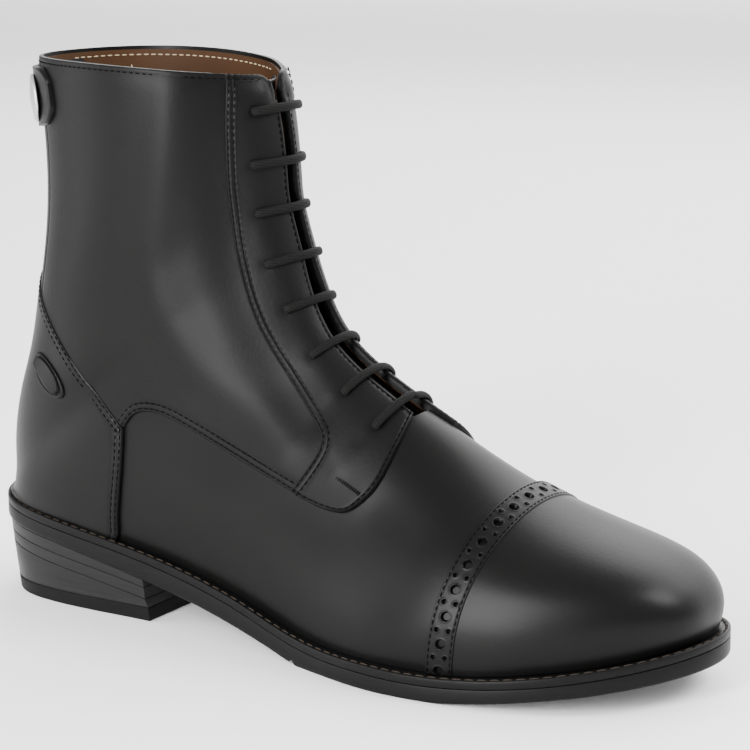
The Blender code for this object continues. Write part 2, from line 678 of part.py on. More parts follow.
def make_spur_rest(name, side):
    """Oval plate on the counter, thin above and standing out as a ledge along its lower edge."""
    step = 1e-3
    middle = last_point(SPUR_STATION, SPUR_SHARE, side)
    by_station = (last_point(SPUR_STATION + step, SPUR_SHARE, side) - middle) / step
    by_share = (last_point(SPUR_STATION, SPUR_SHARE + step, side) - middle) / step
    normal = last_normal(np.array(SPUR_STATION), np.array(SPUR_SHARE), side)
    level_way = np.cross((0, 0, 1.0), normal) * -side
    level_way /= np.linalg.norm(level_way)
    rise_way = np.cross(normal, level_way) * -side
    turn = np.radians(SPUR_TURN_DEG)
    long_way = np.cos(turn) * level_way - np.sin(turn) * rise_way
    short_way = np.sin(turn) * level_way + np.cos(turn) * rise_way
    ways = np.stack([long_way, short_way])
    to_grid = np.linalg.inv(ways @ np.stack([by_station, by_share], 1))
    base = 2 * GAP + COUNTER_THICK
    around = np.linspace(0, 2 * pi, 20, endpoint=False)
    mesh = bmesh.new()
    loops = []
    for reach, raised in ((1.0, 0.0), (1.0, 0.75), (0.8, 1.0)):
        p = SPUR_LONG_HALF * reach * np.cos(around)
        q = SPUR_SHORT_HALF * reach * np.sin(around)
        grid = np.tile((SPUR_STATION, SPUR_SHARE), (len(around), 1))
        for _ in range(12):
            found = (last_point(grid[:, 0], grid[:, 1], side) - middle) @ ways.T
            grid = grid + 0.7 * (np.stack([p, q], 1) - found) @ to_grid.T
        station, share = grid.T
        ledge = np.clip(0.5 - q / (2 * SPUR_SHORT_HALF), 0, 1)
        lift = base + raised * (SPUR_THIN + (SPUR_LEDGE - SPUR_THIN) * ledge)
        loops.append(offset_points(station, share, side, lift))
    rings = loft(mesh, loops)
    for ring in (rings[0], rings[-1]):
        close_ladder(mesh, ring)
    return finished(name, mesh, BLACK_LEATHER)


def lace_plane(station, shares, side):
    """Stations at which shares of one side lie in the plane square to the ridge through the first share."""
    small = 0.01
    run = last_point(station + small, 1.0, side) - last_point(station - small, 1.0, side)
    run = run / np.linalg.norm(run)
    hole = last_point(station, shares[0], side)
    found = np.full(shares.shape, station)
    for _ in range(20):
        miss = (last_point(found, shares, side) - hole) @ run
        rate = (last_point(found + small, shares, side) - last_point(found - small, shares, side)) @ run
        found = found - 0.8 * miss * 2 * small / rate
    return found, run


def make_lace_bar(name, station, hole_half):
    """Straight flattened bar of lace over the facings, from one punched hole to the other."""
    lift = GAP + FACING_THICK + LACE_CLEAR + LACE_THICK / 2
    hole = float(share_at_half(station, hole_half, 0.6, 1.0))
    shares = np.linspace(hole, 1.0, 5)
    around = np.linspace(0, 2 * pi, LACE_SIDES, endpoint=False)
    sides = []
    for side in (OUTER, INNER):
        stations, run = lace_plane(station, shares, side)
        centre = offset_points(stations, shares, side, np.full(shares.shape, lift))
        normal = last_normal(stations, shares, side)
        wide = run - (normal @ run)[:, None] * normal
        wide /= np.linalg.norm(wide, axis=1)[:, None]
        flat = LACE_WIDE / 2 * np.cos(around)[None, :, None] * wide[:, None]
        thick = LACE_THICK / 2 * np.sin(around)[None, :, None] * normal[:, None]
        sides.append(centre[:, None] + flat + thick)
    mesh = bmesh.new()
    rings = loft(mesh, np.concatenate([sides[0], sides[1][-2::-1]]))
    for ring in (rings[0], rings[-1]):
        mesh.faces.new(ring)
    return finished(name, mesh, BLACK_CORD)


def main():
    for old in list(bpy.data.objects):
        bpy.data.objects.remove(old, do_unlink=True)
    make_outsole()
    make_welt()
    make_insole()
    make_heel_block()
    make_heel_top_lift()
    make_upper()
    make_tongue()
    make_toe_cap()
    make_counter()
    make_quarter("quarter_lateral", OUTER)
    make_quarter("quarter_medial", INNER)
    make_facing("facing_lateral", OUTER)
    make_facing("facing_medial", INNER)
    make_back_zip()
    make_snap_tab()
    make_snap_button()
    make_spur_rest("spur_rest_lateral", OUTER)
    make_spur_rest("spur_rest_medial", INNER)
    for number, (station, hole_half) in enumerate(LACE_HOLES, 1):
        make_lace_bar(f"lace_bar_{number}", station, hole_half)


main()
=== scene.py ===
"""Looks of a lace-up ankle boot for the right foot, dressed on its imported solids.

Lengths are in millimetres until a mesh is made. "Along" runs from the back of the sole to its toe, "across"
to the inner side of the foot and "height" up from the floor. A place on the leather is a station (0 at the
toe's tip, 1 at the back of the heel seat, 2 at the collar) and a turn: 0 at the sole on the outer side, 1 on
the ridge over the foot and 2 at the sole on the inner side.
"""
import json
from math import cos, pi, radians, sin

import bmesh
import bpy
import numpy as np
from mathutils import Matrix, Vector

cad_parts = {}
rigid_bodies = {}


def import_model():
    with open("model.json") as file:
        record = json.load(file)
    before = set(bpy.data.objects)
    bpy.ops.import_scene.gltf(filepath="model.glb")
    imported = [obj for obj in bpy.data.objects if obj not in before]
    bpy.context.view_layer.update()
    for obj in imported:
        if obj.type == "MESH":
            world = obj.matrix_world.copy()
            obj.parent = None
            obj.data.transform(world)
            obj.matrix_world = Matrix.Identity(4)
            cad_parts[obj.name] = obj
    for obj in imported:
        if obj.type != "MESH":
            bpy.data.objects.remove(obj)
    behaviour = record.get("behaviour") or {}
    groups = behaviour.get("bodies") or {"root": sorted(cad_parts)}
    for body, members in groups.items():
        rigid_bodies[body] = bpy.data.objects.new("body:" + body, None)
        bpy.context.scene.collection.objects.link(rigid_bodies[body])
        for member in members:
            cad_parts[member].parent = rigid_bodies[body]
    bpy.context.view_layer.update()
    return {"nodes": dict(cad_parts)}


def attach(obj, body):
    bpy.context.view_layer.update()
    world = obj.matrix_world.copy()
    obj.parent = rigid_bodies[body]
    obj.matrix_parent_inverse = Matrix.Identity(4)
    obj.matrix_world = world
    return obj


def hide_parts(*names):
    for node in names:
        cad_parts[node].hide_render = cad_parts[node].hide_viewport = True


for left_over in list(bpy.data.objects):
    bpy.data.objects.remove(left_over)

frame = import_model()

MM = 0.001
OUTER, INNER = -1, 1

# Sole
SOLE_LENGTH = 302.0
WELT_INSIDE = 3.5
REACH_HEEL = 3.8
REACH_BALL = 5.5
REACH_FROM, REACH_TO = 70.0, 190.0
CROSS_GROOVE_ALONG = 157.0
CROSS_GROOVE_WIDE = 2.4
CROSS_GROOVE_DEEP = 1.2
HEEL_BREAST = 82.5
HEEL_TOP_INSET = 0.6
HEEL_SIDE_TAPER = 3.6
HEEL_BACK_TAPER = 2.0
TOP_LIFT_THICK = 5.5
LIFT_LINES_BELOW_SEAT, LIFT_LINES_FROM = (13.7, 18.4), 8.5
HEEL_DROP = 32.0

# Leather
WALL = 2.0
OUTER_WALL = 1.1
QUARTER_HIGH = 1.3
FACING_HIGH = 2.1
COUNTER_HIGH = 1.9
CAP_HIGH = 1.1
STRIP_HIGH = 1.6
TONGUE_HIGH, TONGUE_LOW = -3.2, -5.2
TONGUE_HALF = 21.0
LAID_ON = 0.05
LINING_GAP = 0.02
SEAM_MERGE, HALVES_MEET = 0.002, 0.12
TONGUE_STATIONS, TONGUE_RUN = (0.58, 1.96), 25.0
# Steps for slopes on the last, and the least station and share at which a normal is taken
SMALL = 1e-3
NORMAL_FROM_TIP, NORMAL_FROM_EDGE = 0.004, 0.006

# Collar
COLLAR_ARCH = 2.0
COLLAR_CORNER = 7.0
COLLAR_FROM = 1.6
HEEL_EASE = 0.1
HEEL_LINE_START, HEEL_LINE_WAY = (3.8, 40.0), (0.744, 0.668)
HEEL_LINE_LENGTH, HEEL_LINE_HALF = 85.0, 27.0
HEEL_LINE_CLEAR, HEEL_LINE_STEPS = 1.5, 60

# Lace
LACE_WIDE = 3.3
LACE_THICK = 2.1
LACE_LIFT = 3.1
TOP_BAR_LOOSE = 0.45
HOLE_DIP, HOLE_DIP_WIDE = 0.35, 2.2
LACE_INSIDE_LIFT, LACE_INSIDE_THICK = -2.6, 0.9

# Tab over the top of the zip, its press stud and the oval spur rests
TAB_STATIONS = (1.885, 1.985)
TAB_LOW, TAB_HIGH = 1.45, 3.4
TAB_OUTER_SHARE, TAB_INNER_SHARE, TAB_BOW = 0.31, 0.28, 0.05
TAB_ROW, TAB_ROW_DEEP, TAB_ROW_WIDE = 1.9, 0.18, 0.4
STUD_STATION, STUD_SHARE = 1.936, 0.19
# Section of the stud's cap: radius, height
STUD_PROFILE = (
    (0, 0), (8.5, 0), (8.9, 0.2), (9.0, 0.6), (8.85, 1.0), (8.4, 1.3), (8.0, 1.36), (7.7, 1.28), (7.4, 1.3),
    (6.6, 1.5), (5.0, 1.75), (3.0, 2.0), (1.2, 2.14), (0, 2.16),
)
SPUR_STATION, SPUR_SHARE = 1.19, 0.36
SPUR_LONG_HALF, SPUR_SHORT_HALF = 11.0, 5.2
SPUR_TURN_DEG = 38.0
SPUR_THIN, SPUR_LEDGE = 0.9, 2.4
SPUR_LEDGE_DOWN, SPUR_LEDGE_EDGE = 0.4, 0.09
SPUR_GROOVE, SPUR_GROOVE_DEEP, SPUR_GROOVE_WIDE = 0.95, 0.4, 0.25

# Outline of the sole in plan: along, centre across, half width
SOLE_OUTLINE = (
    (0, 0.0, 0.0), (9, 0.0, 24.0), (30, 0.0, 33.5), (64, -0.5, 34.5), (106, -3.5, 32.5), (152, -4.5, 39.0),
    (176, -4.4, 45.9), (198, -3.4, 51.0), (220, -1.0, 52.5), (242, 0.5, 50.5), (273, 3.0, 40.5),
    (295, 5.0, 21.5), (302, 6.0, 0.0),
)
# Seat of the upper on the welt: along, height
SEAT = (
    (0, 40.5), (36, 35.5), (74, 29.6), (92, 26.2), (110, 22.2), (130, 17.2), (150, 11.9), (166, 9.6),
    (192, 9.2), (217, 9.1), (247, 11.6), (277, 16.4), (302, 21.5),
)
# Underside of the outsole: along, height
UNDERSIDE = (
    (0, 31.5), (40, 26.3), (74, 19.6), (110, 11.7), (155.5, 0.5), (158.5, 0.0), (222, 0.0), (242, 2.5),
    (272, 6.8), (302, 11.8),
)
# Sections of the last:
# station, ridge along, ridge height, ridge across, low rise, low half, mid rise, mid half, ridge half
SECTIONS = (
    (0.10, 296.0, 32.8, 5.0, 0.40, 20.0, 0.85, 19.0, 12.0),
    (0.20, 284.0, 44.0, 4.0, 0.35, 36.5, 0.85, 35.0, 21.5),
    (0.30, 261.0, 51.7, 3.0, 0.30, 46.0, 0.80, 45.0, 27.5),
    (0.40, 230.5, 62.3, 2.0, 0.25, 49.0, 0.70, 49.0, 28.5),
    (0.50, 200.6, 79.2, 1.0, 0.22, 41.5, 0.62, 44.5, 23.0),
    (0.60, 174.0, 94.4, 0.0, 0.20, 35.5, 0.60, 43.0, 22.5),
    (0.70, 151.2, 110.4, 0.0, 0.15, 37.0, 0.55, 41.0, 24.0),
    (0.80, 139.9, 128.8, 0.0, 0.10, 36.0, 0.50, 41.0, 27.0),
    (0.90, 135.0, 143.0, 0.0, 0.04, 35.5, 0.48, 42.0, 29.0),
    (1.00, 131.6, 154.6, 0.0, 0.00, 37.0, 0.45, 44.0, 30.0),
    (1.25, 129.0, 168.7, 0.0, 0.00, 35.0, 0.45, 46.0, 29.0),
    (1.50, 127.8, 181.8, 0.0, 0.00, 33.0, 0.45, 50.0, 28.0),
    (1.75, 126.0, 194.0, 0.0, 0.00, 32.0, 0.50, 54.0, 27.0),
    (2.00, 124.0, 207.0, 0.0, 0.00, 32.5, 0.50, 58.5, 27.0),
)
# Back line of the boot above the heel seat: station, along, height
BACK_LINE = (
    (1.12, 4.5, 54.0), (1.25, 7.4, 72.0), (1.40, 14.8, 95.0), (1.55, 20.2, 120.0), (1.70, 24.2, 145.0),
    (1.85, 25.4, 175.0), (2.00, 23.0, 211.0),
)
# Seams in the side view: along, height
COUNTER_TOP = ((24, 130), (33, 120), (43.5, 109.2), (53, 99.2), (63, 89), (76.5, 76))
COUNTER_FRONT = ((76.5, 76), (76, 63.5), (74, 48), (71.5, 34))
QUARTER_FOOT = ((76.5, 76), (81, 81.5), (88, 83.2), (101.5, 80), (117.5, 74), (133, 68.3), (151.5, 61.5))
FACING_REAR = (
    (151.5, 61.5), (158, 72.5), (159.5, 79), (155.5, 84.7), (143, 97), (128.3, 115.5), (119.7, 137),
    (115.6, 163), (115.2, 181), (115.4, 206),
)
FACING_FOOT = ((151.5, 61.5), (160.5, 58.3), (171, 56.5), (178, 59), (182.5, 64), (185.5, 74.5))
BAR_STITCH = ((168.5, 67.8), (173.5, 65.5), (178.9, 62.9))
INNER_FOOT_STRETCH = 1.27
CAP_REAR = ((214.5, -5), (219, 38), (229, 75))
COUNTER_TOP_STATION = 1.63
QUARTER_BACK_TURN = 0.03
GUARD_SHARE, GUARD_HALF = 0.085, 10.0
GUARD_STATIONS, GUARD_RUN, GUARD_THICK = (1.66, 1.985), 90.0, 1.1
ZIP_SHARE, ZIP_HIGH, ZIP_UNDER_COUNTER = 0.028, 0.7, 0.03
UNDER_LAP = 2.5
FLAP_SHARE = 0.224
SKIVE_WIDE, SKIVE_THIN = 7.0, 0.4
LINING_DROP = 1.4
LINING_SHORT = 2.5
LINING_SHORT_BELOW = (1.35, 1.6)
FOLD_STEPS, FOLD_FROM = 24, 4.0

# Punched lace holes from the top down: station, half distance across
LACE_HOLES = (
    (1.78, 12.5), (1.45, 14.0), (1.11, 13.5), (0.91, 14.0), (0.79, 13.0), (0.70, 13.0),
    (0.63, 14.5), (0.57, 17.0),
)
# Half of the gap between the facings: station, half gap
THROAT_GAP = ((0.52, 9.0), (0.555, 5.5), (0.70, 4.0), (0.90, 2.2), (2.00, 2.0))
THROAT_STATION = 0.555
OUTER_FACING_END, INNER_FACING_END = 0.557, 0.525

# Soft folds in the side view: side, half width, rise, line (along, height)
ANKLE_TROUGH = ((115, 205), (114.3, 185), (114.2, 165), (117.5, 140), (126, 117), (140, 98.5), (152, 86.5))
ANKLE_RIDGE = (
    (101, 204), (97, 181), (93, 162), (90, 146), (90, 131), (95, 116), (103, 105.5), (114, 97.5), (128, 89),
    (146, 77),
)
STAY_RIDGE = ((120.7, 198), (123, 177), (124.5, 158), (130, 141), (138, 125), (147, 108), (157, 96))
FOLDS = (
    (OUTER, 9.0, -1.6, ANKLE_TROUGH), (OUTER, 7.5, 0.8, ANKLE_RIDGE), (OUTER, 3.5, 0.35, STAY_RIDGE),
    (OUTER, 4.0, 0.35, ((160, 80), (164, 76), (168, 71))),
    (OUTER, 2.8, -0.4, ((173, 80), (177, 84), (181, 89))),
    (OUTER, 7.0, -0.4, ((186, 60), (195, 56.5), (205, 52))),
    (INNER, 9.0, -1.1, ANKLE_TROUGH), (INNER, 7.5, 0.5, ANKLE_RIDGE), (INNER, 3.5, 0.3, STAY_RIDGE),
    (INNER, 7.0, -0.4, ((190, 60), (199, 55.5), (208, 50))),
)

# Hidden runs of the lace inside the facings: side, from hole, to hole
LACE_RISERS = (
    (OUTER, 8, 7), (INNER, 7, 5), (OUTER, 5, 3), (INNER, 3, 1), (INNER, 8, 6), (OUTER, 6, 4), (INNER, 4, 2),
)
LACE_BEND = 2.4

# Welt from the upper out to its lower edge: inset from the sole's edge, rise above the seat
WELT_PROFILE = (
    (2.7, -0.5), (2.2, -0.45), (1.95, -0.55), (1.7, -0.6), (1.45, -0.5), (1.2, -0.25), (0.95, -0.08),
    (0.65, -0.02), (0.35, -0.12), (0.12, -0.4), (0.0, -0.8), (0.0, -2.7), (0.12, -3.05), (0.5, -3.25),
)
# Outsole's edge: inset from the sole's edge, rise above the seat or above the underside
OUTSOLE_TOP = ((0.5, -3.3), (0.12, -3.45), (0.0, -3.8))
OUTSOLE_FOOT = ((0.0, 1.2), (0.08, 0.6), (0.35, 0.2), (0.9, 0.0), (4.0, 0.0))
SOLE_SHARP = 40.0
WELT_ROW = 1.75
WELT_PITCH = 4.6
LIFT_LINE_PROFILE = ((0.5, 0.0), (0.2, 0.05), (0.1, 0.4), (-0.1, 0.4), (-0.2, 0.05), (-0.5, 0.0))

# Camera and light
WORLD_STRENGTH = 1.15
# name, place, aim, size, power
LIGHTS = (
    ("behind_above", (0.0, 1.3, 1.3), (0.0, 0.1, 0.05), (2.4, 1.2), 55.0),
    ("backdrop", (0.0, 3.2, 0.8), (0.0, 0.0, 0.8), (6.0, 1.6), 80.0),
    ("front_strip", (-0.06, -0.9, 0.45), (-0.02, 0.0, 0.45), (0.2, 0.8), 24.0),
    ("left_panel", (-0.78, -0.52, 0.3), (0.0, 0.0, 0.12), (0.45, 0.6), 6.0),
    ("toe_panel", (0.75, 0.25, 0.75), (0.1, 0.0, 0.05), (0.4, 0.4), 11.0),
)
CAMERA_AZIMUTH, CAMERA_ELEVATION, CAMERA_ROLL = 32.3, 12.6, -0.6
CAMERA_AWAY = 902.5
CAMERA_AIM = (165.4, 0.0, 99.2)
FOCAL_PIXELS, FRAME_PIXELS, SENSOR = 2481.0, 750.0, 36.0


# ---- Form of the last ----

def spline(knots, values):
    """Natural cubic through the values at the knots, as a function of an array."""
    knots = np.asarray(knots, float)
    values = np.asarray(values, float)
    count = len(knots)
    step = np.diff(knots)
    slope = np.diff(values) / step
    matrix = np.eye(count)
    right = np.zeros(count)
    for i in range(1, count - 1):
        matrix[i, i - 1:i + 2] = step[i - 1], 2 * (step[i - 1] + step[i]), step[i]
        right[i] = 6 * (slope[i] - slope[i - 1])
    bend = np.linalg.solve(matrix, right)

    def value(at):
        at = np.asarray(at, float)
        i = np.clip(np.searchsorted(knots, at) - 1, 0, count - 2)
        d = at - knots[i]
        linear = slope[i] - step[i] * (2 * bend[i] + bend[i + 1]) / 6
        return values[i] + d * (linear + d * (bend[i] / 2 + d * (bend[i + 1] - bend[i]) / (6 * step[i])))

    return value


def columns(table):
    return np.array(table, float).T


def unit(vectors):
    return vectors / np.linalg.norm(vectors, axis=-1, keepdims=True)


def turn_share(along):
    """Share of the half turn round the sole, 0 at the heel and 1 at the toe."""
    return np.arccos(np.clip(1 - 2 * np.asarray(along, float) / SOLE_LENGTH, -1, 1)) / pi


outline_along, outline_centre, outline_half = columns(SOLE_OUTLINE)
sole_centre = spline(turn_share(outline_along), outline_centre)
sole_half = spline(turn_share(outline_along), outline_half)
seat = spline(*columns(SEAT))
toe_tip = SOLE_LENGTH - REACH_BALL
toe_row = (0.0, toe_tip, float(seat(toe_tip)), SOLE_OUTLINE[-1][1], 0.40, 0.0, 0.85, 0.0, 0.0)
section_columns = columns((toe_row,) + SECTIONS)
section_values = [spline(section_columns[0], column) for column in section_columns[1:]]
back_rows = ((1.0, REACH_HEEL, float(seat(REACH_HEEL))),) + BACK_LINE
back_station, back_along, back_height = columns(back_rows)
back_line_along = spline(back_station, back_along)
back_line_height = spline(back_station, back_height)


def underside(along):
    """Height of the outsole's underside, flat where the forefoot stands, with its cross groove."""
    table_along, table_height = columns(UNDERSIDE)
    height = np.maximum(np.interp(along, table_along, table_height), 0)
    in_groove = np.abs(along - CROSS_GROOVE_ALONG) < CROSS_GROOVE_WIDE / 2
    return height + CROSS_GROOVE_DEEP * in_groove


def feather(share):
    """Bottom edge of the upper at a share of the half turn: along, centre across, height, half width."""
    share = np.asarray(share, float)
    along = REACH_HEEL + (SOLE_LENGTH - REACH_BALL - REACH_HEEL) * (1 - np.cos(pi * share)) / 2
    waist = np.clip((along - REACH_FROM) / (REACH_TO - REACH_FROM), 0, 1)
    reach = REACH_HEEL + (REACH_BALL - REACH_HEEL) * waist
    side = np.clip(1.4 * np.sin(pi * share), 0, 1)
    return along, sole_centre(share), seat(along), np.maximum(sole_half(share) - reach * side, 0)


def eased(away):
    """Distance from the heel seat in stations, slowed close to it so that the heel stays round."""
    return away * np.sqrt(1 - np.exp(-(away / HEEL_EASE) ** 2))


def section(station):
    """Bottom point and ridge point of a section, and the points of its half outline."""
    foot = station <= 1
    along, across, height, half = feather(np.clip(eased(1 - station), 0, 1))
    shaft = 1 + np.maximum(eased(station - 1), 0)
    low_point = (
        np.where(foot, along, back_line_along(shaft)),
        np.where(foot, across, 0),
        np.where(foot, height, back_line_height(shaft)),
    )
    ridge_along, ridge_height, ridge_across, *outline = [value(station) for value in section_values]
    return low_point, (ridge_along, ridge_across, ridge_height), np.where(foot, half, 0), outline


def half_width(station, share):
    _, _, half, (_, low_half, _, mid_half, ridge_half) = section(station)
    away = 1 - share
    return (half * away ** 4 + 4 * low_half * share * away ** 3 + 6 * mid_half * share ** 2 * away ** 2
            + 4 * ridge_half * share ** 3 * away)


def last_point(station, share, side):
    """Point on the outside of the upper: share 0 at the sole or back line, 1 at the ridge."""
    station, share = np.broadcast_arrays(np.asarray(station, float), np.asarray(share, float))
    low, ridge, _, (low_rise, _, mid_rise, _, _) = section(station)
    away = 1 - share
    rise = (4 * low_rise * share * away ** 3 + 6 * mid_rise * share ** 2 * away ** 2
            + 4 * share ** 3 * away + share ** 4)
    along, across, height = [a + (b - a) * rise for a, b in zip(low, ridge)]
    return np.stack([along, across + side * half_width(station, share), height], -1)


def slopes(station, share, side):
    """Change of a point on the outside with its station and with its share."""
    by_station = last_point(station + SMALL, share, side) - last_point(station - SMALL, share, side)
    by_share = last_point(station, share + SMALL, side) - last_point(station, share - SMALL, side)
    return by_station / (2 * SMALL), by_share / (2 * SMALL)


def last_normal(station, share, side):
    """Outward unit normal of the upper."""
    s = np.clip(station, NORMAL_FROM_TIP, 2 - SMALL)
    v = np.clip(share, NORMAL_FROM_EDGE, 1 - SMALL)
    by_station, by_share = slopes(s, v, side)
    normal = unit(np.cross(by_share, by_station) * -np.asarray(side)[..., None])
    return np.where(np.asarray(station)[..., None] < 1e-6, np.array([1.0, 0, 0]), normal)


def share_at_half(station, target, low, high):
    """Share between low and high where a section has the target half width."""
    station = np.asarray(station, float)
    a = np.full(station.shape, float(low))
    b = np.full(station.shape, float(high))
    rising = half_width(station, b) > half_width(station, a)
    for _ in range(40):
        middle = (a + b) / 2
        short = (half_width(station, middle) < target) == rising
        a = np.where(short, middle, a)
        b = np.where(short, b, middle)
    return (a + b) / 2


def throat_share(station, short=0.0):
    """Share at which the leather of one side ends at the throat, or a little short of it."""
    return share_at_half(station, np.interp(station, *columns(THROAT_GAP)) + short, 0.7, 1.0)


def collar_height(along, half):
    """Top edge of the shaft: slightly arched from back to front, with round corners at the throat."""
    back, front = back_along[-1], SECTIONS[-1][1]
    level = np.interp(along, (back, front), (back_height[-1], SECTIONS[-1][2]))
    part_way = np.clip((along - back) / (front - back), 0, 1)
    arch = COLLAR_ARCH * 4 * part_way * (1 - part_way)
    near_throat = np.clip(1 - (half - THROAT_GAP[-1][1]) / COLLAR_CORNER, 0, 1) * (part_way > 0.5)
    return level + arch - COLLAR_CORNER * (1 - np.sqrt(1 - near_throat ** 2))


def side_and_share(turn):
    turn = np.asarray(turn, float)
    return np.where(turn <= 1, OUTER, INNER), np.clip(np.minimum(turn, 2 - turn), 0, 1)


def on_side(share, side):
    """Turn of a share of one side."""
    return share if side == OUTER else 2 - share


def round_back(reach):
    """Turn of a place beside the back line, with the inner side below 0."""
    return np.where(reach < 0, 2 + reach, reach)


def leather(station, turn, lift):
    """Point at a height above the last, with the collar's arch and never under the seat."""
    station, turn, lift = np.broadcast_arrays(*[np.asarray(a, float) for a in (station, turn, lift)])
    side, share = side_and_share(turn)
    point = last_point(station, share, side) + last_normal(station, share, side) * lift[..., None]
    top = last_point(np.full(station.shape, 2.0), share, side)
    rise = collar_height(top[..., 0], half_width(np.full(station.shape, 2.0), share)) - top[..., 2]
    point[..., 2] += rise * np.clip((station - COLLAR_FROM) / (2 - COLLAR_FROM), 0, 1)
    point[..., 2] = np.maximum(point[..., 2], seat(point[..., 0]))
    return point


def folded(points):
    """Rise of the leather by the soft folds near an array of points."""
    rise = np.zeros(points.shape[:-1])
    for side, half, high, table in FOLDS:
        line = smooth_line(table, FOLD_STEPS)
        apart = np.full(rise.shape, np.inf)
        for a, b in zip(line, line[1:]):
            away = points[..., (0, 2)] - a
            run = np.clip((away @ (b - a)) / ((b - a) @ (b - a)), 0, 1)
            apart = np.minimum(apart, ((away - run[..., None] * (b - a)) ** 2).sum(-1))
        rise += high * np.exp(-apart / half ** 2) * (points[..., 1] * side > FOLD_FROM)
    return rise


def above_last(station, turn, lift):
    """Point at a height above the last, without the collar's arch."""
    side, share = side_and_share(turn)
    return last_point(station, share, side) + last_normal(station, share, side) * np.asarray(lift)[..., None]


def middle_across():
    shares = np.linspace(0, 1, 400)
    centre, half = sole_centre(shares), sole_half(shares)
    return ((centre - half).min() + (centre + half).max()) / 2


FRAME_ORIGIN = np.array([SOLE_LENGTH / 2, middle_across(), 0.0])


def in_frame(points):
    """Points of the boot in the finished frame, in metres."""
    return (np.asarray(points) - FRAME_ORIGIN) * MM


def find_places(along, height, side):
    """Stations and turns of points given in the side view."""
    target = np.stack([np.asarray(along, float), np.asarray(height, float)], -1)
    s, v = np.meshgrid(np.linspace(0.3, 1.98, 120), np.linspace(0.01, 0.97, 50), indexing="ij")
    seen = last_point(s, v, side)[..., (0, 2)].reshape(-1, 2)
    nearest = [np.argmin(((seen - t) ** 2).sum(1)) for t in target]
    s, v = s.ravel()[nearest], v.ravel()[nearest]
    small = 1e-4
    for _ in range(25):
        here = last_point(s, v, side)[..., (0, 2)]
        by_s = (last_point(s + small, v, side)[..., (0, 2)] - here) / small
        by_v = (last_point(s, v + small, side)[..., (0, 2)] - here) / small
        miss = target - here
        scale = by_s[:, 0] * by_v[:, 1] - by_s[:, 1] * by_v[:, 0]
        scale = np.where(np.abs(scale) < 1e-6, 1e-6, scale)
        step_s = (miss[:, 0] * by_v[:, 1] - miss[:, 1] * by_v[:, 0]) / scale
        step_v = (by_s[:, 0] * miss[:, 1] - by_s[:, 1] * miss[:, 0]) / scale
        s = np.clip(s + np.clip(0.7 * step_s, -0.05, 0.05), 0.0, 2.0)
        v = np.clip(v + np.clip(0.7 * step_v, -0.05, 0.05), 0.0, 1.0)
    return np.stack([s, on_side(v, side)], -1)


def lengths_along(points):
    return np.concatenate([[0], np.cumsum(np.linalg.norm(np.diff(points, axis=0), axis=1))])


def smooth_line(points, count):
    """Even points on a smooth line through a few points."""
    points = np.array(points, float)
    run = lengths_along(points)
    at = np.linspace(0, run[-1], count)
    return np.stack([spline(run, column)(at) for column in points.T], -1)


def leather_at(places, lift=0.0):
    """Points on the leather at an array of stations and turns."""
    return leather(places[..., 0], places[..., 1], lift)


class Seam:
    """A line on the leather, given by places and read at a share of its length."""

    def __init__(self, places):
        self.places = np.asarray(places, float)
        self.points = leather_at(self.places)
        self.run = lengths_along(self.points)
        self.length = self.run[-1]

    @classmethod
    def seen(cls, table, side, count=160):
        line = smooth_line(table, count)
        return cls(find_places(line[:, 0], line[:, 1], side))

    def at(self, share):
        run = np.asarray(share, float) * self.length
        return np.stack([np.interp(run, self.run, column) for column in self.places.T], -1)

    def joined(self, other):
        return Seam(np.concatenate([self.places, other.places[1:]]))

    def reversed(self):
        return Seam(self.places[::-1])

    def beside(self, distance):
        """The line moved along the leather, to the left of its run as seen from outside."""
        s, t = self.places.T
        side, share = side_and_share(t)
        by_s, by_share = slopes(np.clip(s, SMALL, 2 - SMALL), np.clip(share, SMALL, 1 - SMALL), side)
        by_t = by_share * -side[:, None]
        normal = last_normal(s, share, side)
        way = unit(np.gradient(s)[:, None] * by_s + np.gradient(t)[:, None] * by_t)
        aside = np.cross(normal, way) * np.broadcast_to(distance, s.shape)[:, None]
        step = np.linalg.solve(np.stack([by_s, by_t, normal], -1), aside[..., None])[..., 0]
        return Seam(np.stack([np.clip(s + step[:, 0], 0.0, 2.0), t + step[:, 1]], -1))


# ---- Pieces ----

def finished(name, mesh, finish, slot, *nodes, sharp=50.0, merge=SEAM_MERGE):
    """Close a bmesh and turn it into a piece of the boot that stands for the named solids."""
    if merge:
        close_seams(mesh, merge)
    data = bpy.data.meshes.new(name)
    mesh.to_mesh(data)
    mesh.free()
    data.materials.append(finish)
    data.shade_smooth()
    data.set_sharp_from_angle(angle=radians(sharp))
    made = bpy.data.objects.new(name, data)
    bpy.context.scene.collection.objects.link(made)
    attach(made, "root")
    if nodes:
        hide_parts(*nodes)


def sewn(name, mesh, finish, slot, *nodes):
    """A piece of many short threads, which are closed already."""
    finished(name, mesh, finish, slot, *nodes, sharp=35.0, merge=None)


